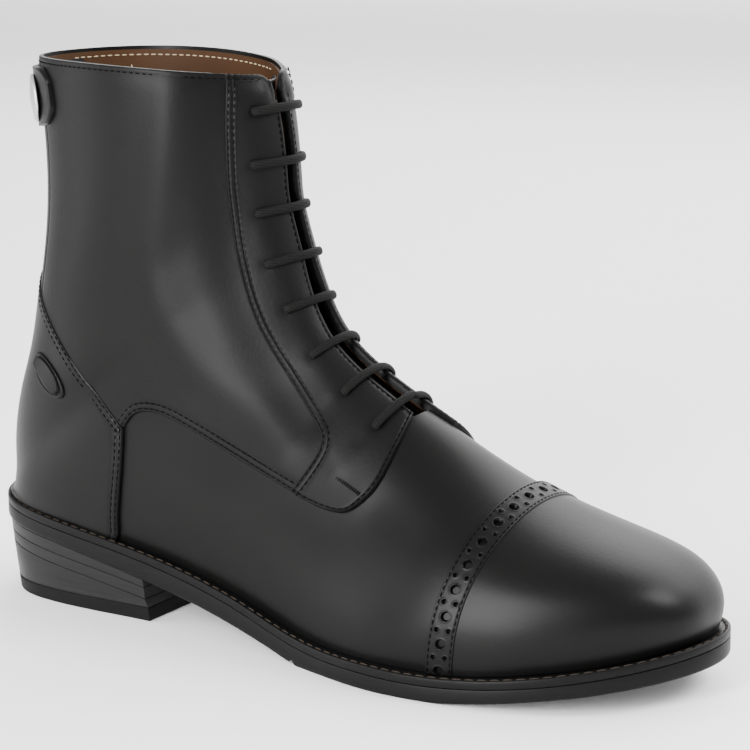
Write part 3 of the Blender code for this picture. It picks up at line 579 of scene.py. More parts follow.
def lay_grid(mesh, points, back=None):
    """Add a grid moved to an array of points, made a plate if the points of its back are given."""
    rows, count = points.shape[:2]
    points = in_frame(points)
    corner = mesh.verts.layers.int.get("corner") or mesh.verts.layers.int.new("corner")
    if mesh.loops.layers.uv.get("UVMap") is None:
        mesh.loops.layers.uv.new("UVMap")
    grid = bmesh.ops.create_grid(mesh, x_segments=count - 1, y_segments=rows - 1, size=0.5, calc_uvs=True)
    flat = points.reshape(-1, 3)
    for vert in grid["verts"]:
        column = round((vert.co.x + 0.5) * (count - 1))
        row = round((vert.co.y + 0.5) * (rows - 1))
        vert[corner] = row * count + column
        vert.co = flat[vert[corner]]
    if back is None:
        return
    below = in_frame(back).reshape(-1, 3)
    faces = list({face for vert in grid["verts"] for face in vert.link_faces})
    grown = bmesh.ops.extrude_face_region(mesh, geom=faces)
    for item in grown["geom"]:
        if isinstance(item, bmesh.types.BMVert):
            item.co = below[item[corner]]


def close_seams(mesh, distance=SEAM_MERGE):
    """Merge what meets, drop walls between joined parts and what has no size, and turn the faces out."""
    bmesh.ops.remove_doubles(mesh, verts=mesh.verts, dist=distance * MM)
    between = [face for face in mesh.faces if sum(len(edge.link_faces) > 2 for edge in face.edges) > 1]
    bmesh.ops.delete(mesh, geom=between, context="FACES")
    bmesh.ops.dissolve_degenerate(mesh, edges=mesh.edges, dist=min(distance, SEAM_MERGE) * MM)
    loose = [edge for edge in mesh.edges if not edge.link_faces]
    bmesh.ops.delete(mesh, geom=loose, context="EDGES")
    bmesh.ops.recalc_face_normals(mesh, faces=mesh.faces)


def rolled(distance, radius):
    """Height of a rounded edge, from 0 on the edge to 1 at the radius."""
    near = np.clip(1 - np.asarray(distance) / radius, 0, 1)
    return np.sqrt(1 - near ** 2)


def rimmed(rim, inside, count, whole=1.0):
    """Distances over a width, close together near both of its edges."""
    rim = np.array(rim, float)
    return np.concatenate([rim, np.linspace(inside, whole - inside, count), whole - rim[::-1]])


def graded(length, near_start, near_end, count):
    """Distances with fixed ones near both ends and an even run between them."""
    near_start, near_end = np.array(near_start, float), np.array(near_end, float)
    fit = min(1.0, 0.8 * length / (near_start[-1] + near_end[-1] + 1e-6))
    near_start, near_end = near_start * fit, near_end * fit
    middle = np.linspace(near_start[-1], length - near_end[-1], count + 2)[1:-1]
    return np.concatenate([near_start, middle, length - near_end[::-1]])


def distance_to(points, line):
    """Distance of an array of points from a dense line."""
    flat = points.reshape(-1, 3)
    found = np.full(len(flat), 1e9)
    for start in range(0, len(flat), 4000):
        part = flat[start:start + 4000]
        apart = ((part[:, None] - line[None]) ** 2).sum(-1)
        found[start:start + 4000] = np.sqrt(apart.min(1))
    return found.reshape(points.shape[:2])


def dense(seam, step=0.25):
    return leather_at(seam.at(np.linspace(0, 1, int(seam.length / step) + 2)))


def panel_places(seams, near, across, upward, fade=1):
    """Places of a panel between its left, right, bottom and top seams, with close rows near each.

    The rows go up from the bottom. The bow of the bottom and top seams fades out over them, faster with a
    higher power.
    """
    left, right, bottom, top = seams
    near_left, near_right, near_bottom, near_top = near
    first = graded(left.length, near_bottom, near_top, upward) / left.length
    last = graded(right.length, near_bottom, near_top, upward) / right.length
    p = np.linspace(0, 1, 120)
    corners = [bottom.at(0.0), bottom.at(1.0), top.at(0.0), top.at(1.0)]
    low, high = bottom.at(p), top.at(p)
    found = []
    for a, b in zip(first, last):
        q = (a + (b - a) * p)[:, None]
        u = p[:, None]
        line = (1 - u) * left.at(q[:, 0]) + u * right.at(q[:, 0])
        line += (1 - q) ** fade * (low - (1 - u) * corners[0] - u * corners[1])
        line += q ** fade * (high - (1 - u) * corners[2] - u * corners[3])
        row = Seam(line)
        found.append(row.at(graded(row.length, near_left, near_right, across) / row.length))
    return np.array(found)


EDGE_ROWS = (0, 0.1, 0.28, 0.5, 0.75)
STITCH_ROWS = EDGE_ROWS + (0.95, 1.15, 1.35, 1.6, 2.2, 2.7, 2.95, 3.2, 3.45, 3.8)
ONE_STITCH_ROW = EDGE_ROWS + (1.3, 1.55, 1.8, 2.05, 2.4)


def stitched(height, distances, radius=0.8, groove=0.28):
    """Height of leather with rounded edges and a groove for each row of stitches beside an edge."""
    share = 1.0
    dip = 0.0
    for distance, rows in distances:
        share = np.minimum(share, rolled(distance, radius))
        for row in rows:
            dip = dip + groove * np.exp(-((distance - row) / 0.3) ** 2)
    return LAID_ON + (height - LAID_ON) * share - dip


def plate(mesh, places, lift):
    """Lay a panel on the last, with its back just over the leather under it."""
    fold = folded(leather_at(places))
    lay_grid(mesh, leather_at(places, lift + fold), leather_at(places, LAID_ON / 2 + fold))


def skived(lift, distance):
    """Leather thinned towards the collar."""
    full = np.clip(distance / SKIVE_WIDE, 0, 1)
    return lift * (SKIVE_THIN + (1 - SKIVE_THIN) * full * full * (3 - 2 * full))


# ---- Finishes ----

class Field:
    """A socket in a material, with arithmetic that adds its nodes."""

    def __init__(self, tree, socket=None):
        self.tree = tree
        self.socket = socket

    def node(self, kind, settings=None, sockets=None, output=0):
        """Any node: its type, its settings, and the values or fields of its sockets."""
        made = self.tree.nodes.new(kind)
        for key, value in (settings or {}).items():
            setattr(made, key, value)
        for key, value in (sockets or {}).items():
            if isinstance(value, Field):
                self.tree.links.new(value.socket, made.inputs[key])
            else:
                made.inputs[key].default_value = value
        return Field(self.tree, made.outputs[output])

    def math(self, operation, first, second):
        return self.node("ShaderNodeMath", {"operation": operation}, {0: first, 1: second})

    def __add__(self, other):
        return self.math("ADD", self, other)

    def __radd__(self, other):
        return self.math("ADD", other, self)

    def __sub__(self, other):
        return self.math("SUBTRACT", self, other)

    def __rsub__(self, other):
        return self.math("SUBTRACT", other, self)

    def __mul__(self, other):
        return self.math("MULTIPLY", self, other)

    def __rmul__(self, other):
        return self.math("MULTIPLY", other, self)


class Finish:
    """A Principled material under construction."""

    def __init__(self, name, **constants):
        self.material = bpy.data.materials.new(name)
        self.material.use_nodes = True
        self.tree = self.material.node_tree
        self.shader = self.tree.nodes["Principled BSDF"]
        for key, value in constants.items():
            self.shader.inputs[key.replace("_", " ")].default_value = value
        self.field = Field(self.tree)
        self.place = self.field.node("ShaderNodeTexCoord", output=3)
        self.own_map = self.field.node("ShaderNodeTexCoord", output=2)

    def noise(self, per_metre, detail=2.0, rough=0.5, at=None):
        return self.field.node("ShaderNodeTexNoise", {}, {
            "Vector": at or self.place, "Scale": per_metre, "Detail": detail, "Roughness": rough})

    def cells(self, per_metre, at=None):
        return self.field.node("ShaderNodeTexVoronoi", {"feature": "SMOOTH_F1"}, {
            "Vector": at or self.place, "Scale": per_metre, "Smoothness": 0.6})

    def blend(self, factor, first, second):
        sockets = {0: factor, 6: (*first, 1), 7: (*second, 1)}
        return self.field.node("ShaderNodeMix", {"data_type": "RGBA"}, sockets, output=2)

    def feed(self, **fields):
        for key, value in fields.items():
            self.tree.links.new(value.socket, self.shader.inputs[key.replace("_", " ")])
        return self

    def bump(self, height, strength, distance):
        self.feed(Normal=self.field.node("ShaderNodeBump", {}, {
            "Strength": strength, "Distance": distance, "Height": height}))
        return self.material


def black_leather(name, roughness, grain, coat):
    finish = Finish(name, Specular_IOR_Level=0.08, Coat_Weight=coat, Coat_Roughness=0.3)
    wide = finish.noise(35.0, 3.0)
    pores = finish.noise(1100.0, 4.0, 0.6)
    creases = finish.cells(650.0)
    shade = finish.blend(wide, (0.0017, 0.0018, 0.0017), (0.0030, 0.0031, 0.0029))
    finish.feed(Base_Color=shade, Roughness=roughness + 0.10 * (wide - 0.5) + 0.10 * (pores - 0.5))
    return finish.bump(pores * 0.6 + creases * 0.4, grain, 0.0002)


def tan_leather():
    finish = Finish("lining_leather", Specular_IOR_Level=0.08)
    wide = finish.noise(45.0, 3.0)
    pores = finish.noise(1400.0, 3.0)
    shade = finish.blend(wide, (0.036, 0.017, 0.008), (0.058, 0.028, 0.013))
    finish.feed(Base_Color=shade, Roughness=0.55 + 0.15 * (pores - 0.5))
    return finish.bump(pores, 0.25, 0.0002)


def sole_edge_finish(name, dark, light, roughness):
    """Inked edge with faint streaks along it."""
    finish = Finish(name, Specular_IOR_Level=0.08)
    stretched = finish.field.node("ShaderNodeMapping", {}, {"Vector": finish.place, "Scale": (30, 30, 900)})
    streaks = finish.noise(1.0, 3.0, at=stretched)
    spots = finish.noise(260.0, 3.0)
    shade = finish.blend(streaks, (dark, dark, dark), (light, light, light))
    finish.feed(Base_Color=shade, Roughness=roughness + 0.18 * (spots - 0.5))
    return finish.bump(streaks * 0.5 + spots * 0.5, 0.15, 0.0003)


def thread(name, colour, roughness=0.7):
    finish = Finish(name, Specular_IOR_Level=0.04)
    twist = finish.noise(2500.0, 2.0)
    shade = finish.blend(twist, tuple(0.6 * c for c in colour), colour)
    finish.feed(Base_Color=shade, Roughness=roughness + 0.2 * (twist - 0.5))
    return finish.bump(twist, 0.4, 0.0002)


def woven_cord():
    """Braided lace: crossing diagonal threads from the piece's own map."""
    finish = Finish("lace_cord", Specular_IOR_Level=0.06)
    bands = []
    for angle in (pi / 4, -pi / 4):
        sockets = {"Vector": finish.own_map, "Rotation": (0, 0, angle)}
        turned = finish.field.node("ShaderNodeMapping", {}, sockets)
        sockets = {"Vector": turned, "Scale": 4.0, "Distortion": 0.6}
        bands.append(finish.field.node("ShaderNodeTexWave", {}, sockets, output=1))
    weave = bands[0] * 0.5 + bands[1] * 0.5
    fuzz = finish.noise(1800.0, 3.0)
    shade = finish.blend(weave, (0.0025, 0.0025, 0.0025), (0.0075, 0.0075, 0.0072))
    finish.feed(Base_Color=shade, Roughness=0.72 + 0.2 * (fuzz - 0.5))
    return finish.bump(weave * 0.7 + fuzz * 0.3, 0.5, 0.0003)


def satin_metal():
    finish = Finish("satin_metal", Metallic=1.0)
    fine = finish.noise(2600.0, 2.0)
    wide = finish.noise(140.0, 2.0)
    shade = finish.blend(wide, (0.44, 0.44, 0.45), (0.52, 0.52, 0.53))
    finish.feed(Base_Color=shade, Roughness=0.40 + 0.12 * (fine - 0.5))
    return finish.bump(fine, 0.05, 0.0001)


def pale_floor():
    finish = Finish("floor_paper", Specular_IOR_Level=0.2)
    spots = finish.noise(30.0, 3.0)
    shade = finish.blend(spots, (0.93, 0.93, 0.93), (0.95, 0.95, 0.95))
    finish.feed(Base_Color=shade, Roughness=0.8 + 0.1 * spots)
    return finish.material


SMOOTH_LEATHER = black_leather("smooth_leather", 0.40, 0.28, 0.06)
SOFT_LEATHER = black_leather("soft_leather", 0.48, 0.45, 0.04)
EDGE_LEATHER = black_leather("edge_leather", 0.55, 0.2, 0.0)
LINING_LEATHER = tan_leather()
SOLE_EDGE = sole_edge_finish("sole_edge", 0.0028, 0.0055, 0.42)
HEEL_EDGE = sole_edge_finish("heel_edge", 0.0075, 0.0170, 0.40)
TOP_LIFT_RUBBER = sole_edge_finish("top_lift_rubber", 0.0030, 0.0055, 0.6)
BLACK_THREAD = thread("black_thread", (0.0010, 0.0010, 0.0010))
CREAM_THREAD = thread("cream_thread", (0.50, 0.40, 0.26))
WELT_THREAD = thread("welt_thread", (0.045, 0.035, 0.028))
LACE_CORD = woven_cord()
ZIP_TAPE = thread("zip_tape", (0.004, 0.004, 0.0043), 0.85)
STUD_METAL = satin_metal()


# ---- Upper ----

def half_skin(side, high, low, mesh, drop=0.0, short=0.0):
    """One side of the upper, up to the ridge or the throat. It may lie lower at the collar or stop short."""
    stations = np.concatenate([
        np.linspace(0, 0.06, 14), np.linspace(0.07, THROAT_STATION - 0.0005, 70),
        np.linspace(THROAT_STATION + 0.0005, 2.0, 130)])
    shares = np.concatenate([np.linspace(0, 0.06, 7), np.linspace(0.08, 1, 64)])
    held_back = np.interp(stations, LINING_SHORT_BELOW, (short, 0.0))
    reach = np.where(stations > THROAT_STATION, throat_share(stations, held_back), 1.0)
    share = reach[:, None] * shares[None]
    turn = on_side(share, side)
    station = np.broadcast_to(stations[:, None], share.shape)
    fold = folded(leather(station, turn, 0))
    lower = drop * np.clip((station - COLLAR_FROM) / (2 - COLLAR_FROM), 0, 1)[..., None] * (0, 0, 1.0)
    lay_grid(mesh, leather(station, turn, high + fold) - lower, leather(station, turn, low + fold) - lower)


def make_upper():
    """The leather and its lining, each of two halves that meet on the ridge and up the back."""
    leather_wall = (0.0, -OUTER_WALL), ()
    lining_wall = (-OUTER_WALL - LINING_GAP, -WALL), (LINING_DROP, LINING_SHORT)
    for name, finish, slot, (heights, ends) in (
            ("upper_leather", SMOOTH_LEATHER, "black_leather", leather_wall),
            ("lining", LINING_LEATHER, "tan_leather", lining_wall)):
        mesh = bmesh.new()
        for side in (OUTER, INNER):
            half_skin(side, *heights, mesh, *ends)
        finished(name, mesh, finish, slot, "upper", merge=HALVES_MEET)


def cap_rear_station(turn):
    """Station of the toe cap's rear edge at a turn."""
    side, share = side_and_share(turn)
    rear = spline(*columns([(height, along) for along, height in CAP_REAR]))
    low, high = np.full(share.shape, 0.2), np.full(share.shape, 0.55)
    for _ in range(40):
        middle = (low + high) / 2
        point = last_point(middle, share, side)
        ahead = point[..., 0] > rear(point[..., 2])
        low = np.where(ahead, middle, low)
        high = np.where(ahead, high, middle)
    return (low + high) / 2


SEAM_ROWS = (1.15, 3.2)
THROAT_ROW = 1.7
COLLAR_ROW = 1.8
COLLAR_RISE = 52.0
THREAD_SUNK = 0.08
CORNER_STATION, CORNER_SHARE = 1.9, 0.7
STRIP_WIDE = 10.4
CAP_UNDER_STRIP = (-0.8, -0.6, -0.2)
HOLE_PITCH = 10.0
HOLE_SHIFT = -3.3
# Holes across the strip: distance from its middle line, radius, depth
LARGE_HOLE = ((0.0, 1.5, 1.9),)
SMALL_HOLES = ((-2.2, 0.62, 1.5), (2.2, 0.62, 1.5))
HOLE_EDGE = 0.07
HOLE_RIM_HIGH, HOLE_RIM_OUT, HOLE_RIM_WIDE = 0.14, 0.42, 0.28
STRIP_ROW, STRIP_STEP, STRIP_BACK = 1.1, 0.28, -0.9
LINING_ROW, LINING_THREAD = 2.0, {"pitch": 2.9, "length": 2.0, "wide": 0.6}
LINING_FACE = -WALL - 0.1
COLLAR_THREAD = SKIVE_THIN + 0.12


def cap_places(turns, distances_at):
    """Places on the toe cap at distances from its rear edge towards the toe."""
    found = []
    for turn, start in zip(turns, cap_rear_station(turns)):
        line = Seam(np.stack([np.linspace(start, 0.0, 200), np.full(200, turn)], -1))
        found.append(line.at(np.clip(distances_at(line.length) / line.length, 0, 1)))
    return np.array(found)


def make_toe_cap():
    turns = np.concatenate([np.linspace(0, 0.05, 6), np.linspace(0.07, 1.93, 140), np.linspace(1.95, 2, 6)])
    near = STRIP_WIDE + np.array(CAP_UNDER_STRIP)
    places = cap_places(turns, lambda length: graded(length, near, (0,), 70))
    mesh = bmesh.new()
    plate(mesh, places, CAP_HIGH)
    finished("toe_cap_leather", mesh, SMOOTH_LEATHER, "black_leather", "toe_cap")
    make_cap_strip()


def make_cap_strip():
    """Band with punched holes along the rear of the toe cap: one large hole, then a pair of small ones."""
    turns = np.linspace(0, 2, 400)
    edge = Seam(np.stack([cap_rear_station(turns), turns], -1))
    turns = edge.at(np.linspace(0, 1, int(edge.length / STRIP_STEP)))[:, 1]
    across = rimmed((0, 0.1, 0.28), 0.5, 36, STRIP_WIDE)
    places = cap_places(turns, lambda _: across)
    run = np.linspace(0, edge.length, len(turns))[:, None]
    aside = across[None] - STRIP_WIDE / 2
    pairs = round(edge.length / HOLE_PITCH)
    borders = [(np.broadcast_to(d, places.shape[:2]), (STRIP_ROW,)) for d in (across, STRIP_WIDE - across)]
    lift = stitched(STRIP_HIGH, borders, radius=0.5, groove=0.16)
    for number in range(2 * pairs + 2):
        at = edge.length / pairs * number / 2 + HOLE_SHIFT
        for off, radius, deep in LARGE_HOLE if number % 2 else SMALL_HOLES:
            away = np.hypot(run - at, aside - off) - radius
            lift = lift - deep / (1 + np.exp(np.minimum(away / HOLE_EDGE, 50)))
            lift = lift + HOLE_RIM_HIGH * np.exp(-((away - HOLE_RIM_OUT) / HOLE_RIM_WIDE) ** 2)
    mesh = bmesh.new()
    lay_grid(mesh, leather_at(places, lift), leather_at(places, STRIP_BACK))
    finished("toe_cap_strip", mesh, SMOOTH_LEATHER, "black_leather", "toe_cap", sharp=60, merge=0.001)


def run_of(stations, turns):
    return Seam(np.stack(np.broadcast_arrays(np.asarray(stations, float), np.asarray(turns, float)), -1))


def counter_seams(side):
    """Back line, front seam, sole edge and top seam of the counter on one side."""
    edge = on_side(0.0, side)
    top = Seam(np.concatenate([[[COUNTER_TOP_STATION, edge]], Seam.seen(COUNTER_TOP, side).places]))
    front = Seam.seen(COUNTER_FRONT, side).places
    foot = front[-1, 0] - 0.004
    front = Seam(np.concatenate([front, [[foot, edge]]])).reversed()
    back = run_of(np.linspace(1.0, COUNTER_TOP_STATION, 60), edge)
    bottom = run_of(np.linspace(1.0, foot, 60), edge)
    return back, front, bottom, top


def make_counter():
    mesh = bmesh.new()
    for side in (OUTER, INNER):
        back, front, bottom, top = counter_seams(side)
        near = (0, 1), STITCH_ROWS, (0, 0.5, 1), STITCH_ROWS
        places = panel_places((back, front, bottom, top), near, 44, 50)
        points = leather_at(places)
        edges = [(distance_to(points, dense(seam)), SEAM_ROWS) for seam in (front, top)]
        plate(mesh, places, stitched(COUNTER_HIGH, edges))
    on_back = [vert for vert in mesh.verts if abs(vert.co.y / MM + FRAME_ORIGIN[1]) < HALVES_MEET]
    bmesh.ops.remove_doubles(mesh, verts=on_back, dist=HALVES_MEET * MM)
    close_seams(mesh)
    round_heel(mesh)
    finished("counter_leather", mesh, SMOOTH_LEATHER, "black_leather", "counter", merge=None)


def round_heel(mesh):
    """Ease the leather round the lower back of the heel, less and less away from its middle."""
    verts = list(mesh.verts)
    places = np.array([vert.co for vert in verts]) / MM + FRAME_ORIGIN
    away = places[:, (0, 2)] - HEEL_LINE_START
    run = away @ np.array(HEEL_LINE_WAY) / HEEL_LINE_LENGTH
    aside = np.abs(away[:, 0] * HEEL_LINE_WAY[1] - away[:, 1] * HEEL_LINE_WAY[0]) / HEEL_LINE_HALF
    far = np.hypot(np.maximum(run, 0), aside)
    far[places[:, 2] < seat(places[:, 0]) + HEEL_LINE_CLEAR] = np.inf
    for step in range(HEEL_LINE_STEPS):
        chosen = [verts[i] for i in np.flatnonzero(far < 1 - step / HEEL_LINE_STEPS)]
        bmesh.ops.smooth_vert(
            mesh, verts=chosen, factor=0.5, use_axis_x=True, use_axis_y=True, use_axis_z=True)


def rear_seam(side):
    """Seam between quarter and facing, from the foot to the collar."""
    places = Seam.seen(FACING_REAR, side).places
    return Seam(np.concatenate([places, [[2.0, places[-1, 1]]]]))


def quarter_seams(side):
    """Lower seam, collar, back edge and front edge of a quarter, tucked a little under its neighbours."""
    _, _, _, top = counter_seams(side)
    hand = -side
    tuck = UNDER_LAP * np.clip((1 - np.linspace(0, 1, len(top.places))) * 6, 0, 1)
    top = top.beside(-hand * tuck)
    _, share = side_and_share(top.places[:, 1])
    start = np.interp(QUARTER_BACK_TURN, share[:8], top.places[:8, 0])
    begin = [[start, on_side(QUARTER_BACK_TURN, side)]]
    lower = Seam(np.concatenate([begin, top.places[share > QUARTER_BACK_TURN]]))
    lower = lower.joined(Seam.seen(QUARTER_FOOT, side))
    front = rear_seam(side)
    tuck = UNDER_LAP * np.clip(np.linspace(0, 1, len(front.places)) * 12, 0, 1)
    front = front.beside(-hand * tuck)
    back = run_of(np.linspace(start, 2.0, 60), on_side(QUARTER_BACK_TURN, side))
    collar = run_of(2.0, np.linspace(on_side(QUARTER_BACK_TURN, side), front.places[-1, 1], 60))
    return lower, collar, back, front


def quarter_panels(side):
    """Lower seam, collar, back and front of the flap beside the zip, and of the main panel."""
    lower, collar, back, front = quarter_seams(side)
    flap_turn = on_side(FLAP_SHARE, side)
    _, share = side_and_share(lower.places[:, 1])
    split = int(np.argmax(share > FLAP_SHARE))
    start = np.interp(FLAP_SHARE, share[split - 1:split + 1], lower.places[split - 1:split + 1, 0])
    corner = [[start, flap_turn]]
    flap_foot = Seam(np.concatenate([lower.places[:split], corner]))
    main_foot = Seam(np.concatenate([corner, lower.places[split:]]))
    flap_edge = run_of(np.linspace(start, 2.0, 60), flap_turn)
    first, last = collar.places[0, 1], collar.places[-1, 1]
    return (
        (flap_foot, run_of(2.0, np.linspace(first, flap_turn, 30)), back, flap_edge),
        (main_foot, run_of(2.0, np.linspace(flap_turn, last, 60)), flap_edge, front),
    )


def make_quarter(name, side):
    mesh = bmesh.new()
    near = STITCH_ROWS, ONE_STITCH_ROW, EDGE_ROWS, EDGE_ROWS
    flap, main = quarter_panels(side)
    for panel, upward, other, rows in (
            (flap, 16, flap[3], ()), (main, 90, Seam.seen(QUARTER_FOOT, side), SEAM_ROWS)):
        _, collar, back, _ = panel
        places = panel_places(panel, near, 60, upward)
        points = leather_at(places)
        to_collar = distance_to(points, dense(collar))
        edges = [(to_collar, (COLLAR_ROW,))]
        edges += [(distance_to(points, dense(seam)), sewing) for seam, sewing in ((back, ()), (other, rows))]
        plate(mesh, places, skived(stitched(QUARTER_HIGH, edges), to_collar))
    finished(name + "_leather", mesh, SOFT_LEATHER, "black_leather", name, merge=0.0005)


def facing_seams(side):
    """Rear seam, throat edge, foot and collar of a facing."""
    rear = rear_seam(side)
    end = OUTER_FACING_END if side == OUTER else INNER_FACING_END
    stretch = 1.0 if side == OUTER else INNER_FOOT_STRETCH
    start = FACING_FOOT[0][0]
    seen = [(start + (along - start) * stretch, height) for along, height in FACING_FOOT]
    corner = [[end, on_side(float(throat_share(end)), side)]]
    foot = Seam(smooth_line(np.concatenate([find_places(*columns(seen), side), corner]), 90))
    stations = np.linspace(end, 2.0, 160)
    throat = run_of(stations, on_side(throat_share(stations), side))
    collar = run_of(2.0, np.linspace(rear.places[-1, 1], throat.places[-1, 1], 40))
    return rear, throat, foot, collar


def lace_hole(station, half, side):
    return np.array([station, on_side(float(share_at_half(station, half, 0.6, 1.0)), side)])


def make_facing(name, side):
    rear, throat, foot, collar = facing_seams(side)
    near = STITCH_ROWS, ONE_STITCH_ROW, STITCH_ROWS, ONE_STITCH_ROW
    places = panel_places((rear, throat, foot, collar), near, 30, 150, fade=4)
    points = leather_at(places)
    sewing = ((rear, SEAM_ROWS), (throat, (THROAT_ROW,)), (foot, SEAM_ROWS[:1]), (collar, (COLLAR_ROW,)))
    edges = [(distance_to(points, dense(seam)), rows) for seam, rows in sewing]
    to_collar, _ = edges[-1]
    lift = skived(stitched(FACING_HIGH, edges), to_collar)
    for station, half in LACE_HOLES:
        away = np.linalg.norm(points - leather_at(lace_hole(station, half, side)), axis=-1)
        lift = lift - HOLE_DIP * np.exp(-(away / HOLE_DIP_WIDE) ** 2)
    mesh = bmesh.new()
    plate(mesh, places, lift)
    finished(name + "_leather", mesh, SOFT_LEATHER, "black_leather", name)


def make_tongue():
    first, last = TONGUE_STATIONS
    stations = np.linspace(first, last, 150)
    edge = share_at_half(stations, TONGUE_HALF, 0.55, 1.0)
    across = rimmed((0, 0.01, 0.03, 0.06), 0.1, 40, 2.0)
    turn = edge[:, None] + (1 - edge[:, None]) * across[None]
    station = np.broadcast_to(stations[:, None], turn.shape)
    from_end = TONGUE_RUN * np.minimum(stations - first, last - stations)[:, None]
    from_side = TONGUE_HALF * np.minimum(across, 2 - across)[None]
    share = np.minimum(rolled(from_end, 1.0), rolled(from_side, 1.0))
    middle = (TONGUE_HIGH + TONGUE_LOW) / 2
    mesh = bmesh.new()
    lay_grid(mesh, above_last(station, turn, middle + (TONGUE_HIGH - middle) * share),
             above_last(station, turn, middle - LINING_GAP + (TONGUE_LOW - middle) * share))
    finished("tongue_leather", mesh, SOFT_LEATHER, "black_leather", "tongue", sharp=60)


# ---- Back of the shaft ----

def make_snap_tab():
    low, high = TAB_STATIONS
    across = rimmed((0, 0.004, 0.012, 0.025, 0.05), 0.08, 60)
    upward = rimmed((0, 0.012, 0.035, 0.07), 0.11, 22)
    outer_end = TAB_OUTER_SHARE - TAB_BOW * (2 * upward - 1) ** 4
    reach = -TAB_INNER_SHARE + (outer_end + TAB_INNER_SHARE)[:, None] * across[None]
    station = np.broadcast_to((low + (high - low) * upward)[:, None], reach.shape)
    turn = round_back(reach)
    flat = leather(station, turn, 0)
    distance = distance_to(flat, np.concatenate([flat[0], flat[-1], flat[:, 0], flat[:, -1]]))
    row = TAB_ROW_DEEP * np.exp(-((distance - TAB_ROW) / TAB_ROW_WIDE) ** 2)
    lift = TAB_LOW + (TAB_HIGH - TAB_LOW) * rolled(distance, 0.8) - row
    mesh = bmesh.new()
    lay_grid(mesh, leather(station, turn, lift), leather(station, turn, TAB_LOW - 0.1))
    finished("snap_tab_leather", mesh, SMOOTH_LEATHER, "black_leather", "snap_tab")


def turned_piece(profile, steps=64):
    """Spin a profile of (radius, height) about its axis."""
    mesh = bmesh.new()
    verts = [mesh.verts.new((radius * MM, 0, height * MM)) for radius, height in profile]
    edges = [mesh.edges.new(pair) for pair in zip(verts, verts[1:])]
    bmesh.ops.spin(mesh, geom=verts + edges, cent=(0, 0, 0), axis=(0, 0, 1), angle=2 * pi, steps=steps,
                   use_merge=True)
    return mesh


def make_snap_button():
    """Domed press-stud cap with a raised rim and a flat, plain middle."""
    station, share = np.array(STUD_STATION), np.array(STUD_SHARE)
    normal = last_normal(station, share, np.array(OUTER))
    foot = last_point(station, share, OUTER) + normal * (TAB_HIGH - LAID_ON)
    mesh = turned_piece(STUD_PROFILE)
    turn = Vector((0, 0, 1)).rotation_difference(Vector(normal)).to_matrix().to_4x4()
    bmesh.ops.transform(mesh, matrix=Matrix.Translation(in_frame(foot)) @ turn, verts=mesh.verts)
    finished("snap_cap", mesh, STUD_METAL, "satin_metal", "snap_button")


def make_spur_rest(name, side):
    """Oval patch on the counter, thin above and standing out as a ledge along its lower edge."""
    middle = last_point(SPUR_STATION, SPUR_SHARE, side)
    by_place = np.stack(slopes(SPUR_STATION, SPUR_SHARE, side), 1)
    normal = last_normal(np.array(SPUR_STATION), np.array(SPUR_SHARE), np.array(side))
    level_way = unit(np.cross((0, 0, 1.0), normal) * -side)
    rise_way = np.cross(normal, level_way) * -side
    turn = radians(SPUR_TURN_DEG)
    ways = np.stack([cos(turn) * level_way - sin(turn) * rise_way,
                     sin(turn) * level_way + cos(turn) * rise_way])
    to_grid = np.linalg.inv(ways @ by_place)
    reach = np.concatenate([[1.0, 0.992, 0.975, 0.95], np.linspace(0.92, 0.0, 44)])[:, None]
    around = np.linspace(0, 2 * pi, 121)[None]
    p, q = SPUR_LONG_HALF * reach * np.cos(around), SPUR_SHORT_HALF * reach * np.sin(around)
    wanted = np.stack([p, q], -1).reshape(-1, 2)
    grid = np.tile((SPUR_STATION, SPUR_SHARE), (len(wanted), 1))
    for _ in range(14):
        found = (last_point(grid[:, 0], grid[:, 1], side) - middle) @ ways.T
        grid = grid + 0.7 * (wanted - found) @ to_grid.T
    station = grid[:, 0].reshape(p.shape)
    place = on_side(grid[:, 1], side).reshape(p.shape)
    from_edge = SPUR_SHORT_HALF * (1 - reach)
    above = q + SPUR_LEDGE_DOWN * SPUR_SHORT_HALF
    slant = np.clip(1 - above / (1.5 * SPUR_SHORT_HALF), 0.1, 1)
    pad = (SPUR_LEDGE - SPUR_THIN) * slant / (1 + np.exp(-above / SPUR_LEDGE_EDGE))
    inside = np.clip((from_edge - 0.9) / 0.4, 0, 1)
    groove = SPUR_GROOVE_DEEP * np.exp(-((from_edge - SPUR_GROOVE) / SPUR_GROOVE_WIDE) ** 2)
    lift = COUNTER_HIGH + SPUR_THIN * rolled(from_edge, 0.6) - groove
    lift = lift + pad * inside * inside * (3 - 2 * inside)
    mesh = bmesh.new()
    lay_grid(mesh, leather(station, place, lift), leather(station, place, COUNTER_HIGH - 0.1))
    finished(name + "_leather", mesh, SMOOTH_LEATHER, "black_leather", name)


def make_back_zip():
    """Closed zip: tape between the two quarters and a coil of teeth down its middle."""
    stations = np.linspace(COUNTER_TOP_STATION - ZIP_UNDER_COUNTER, 2.0, 60)
    station, reach = np.broadcast_arrays(stations[:, None], np.linspace(-ZIP_SHARE, ZIP_SHARE, 17)[None])
    turn = round_back(reach)
    mesh = bmesh.new()
    lay_grid(mesh, leather(station, turn, ZIP_HIGH), leather(station, turn, LAID_ON))
    finished("zip_tape", mesh, ZIP_TAPE, "black_cord", "back_zip")
    mesh = bmesh.new()
    add_stitches(mesh, run_of(stations, 0.0), 1.0, pitch=1.25, length=0.85, wide=4.2, high=1.1)
    sewn("zip_teeth", mesh, ZIP_TAPE, "black_cord", "back_zip")


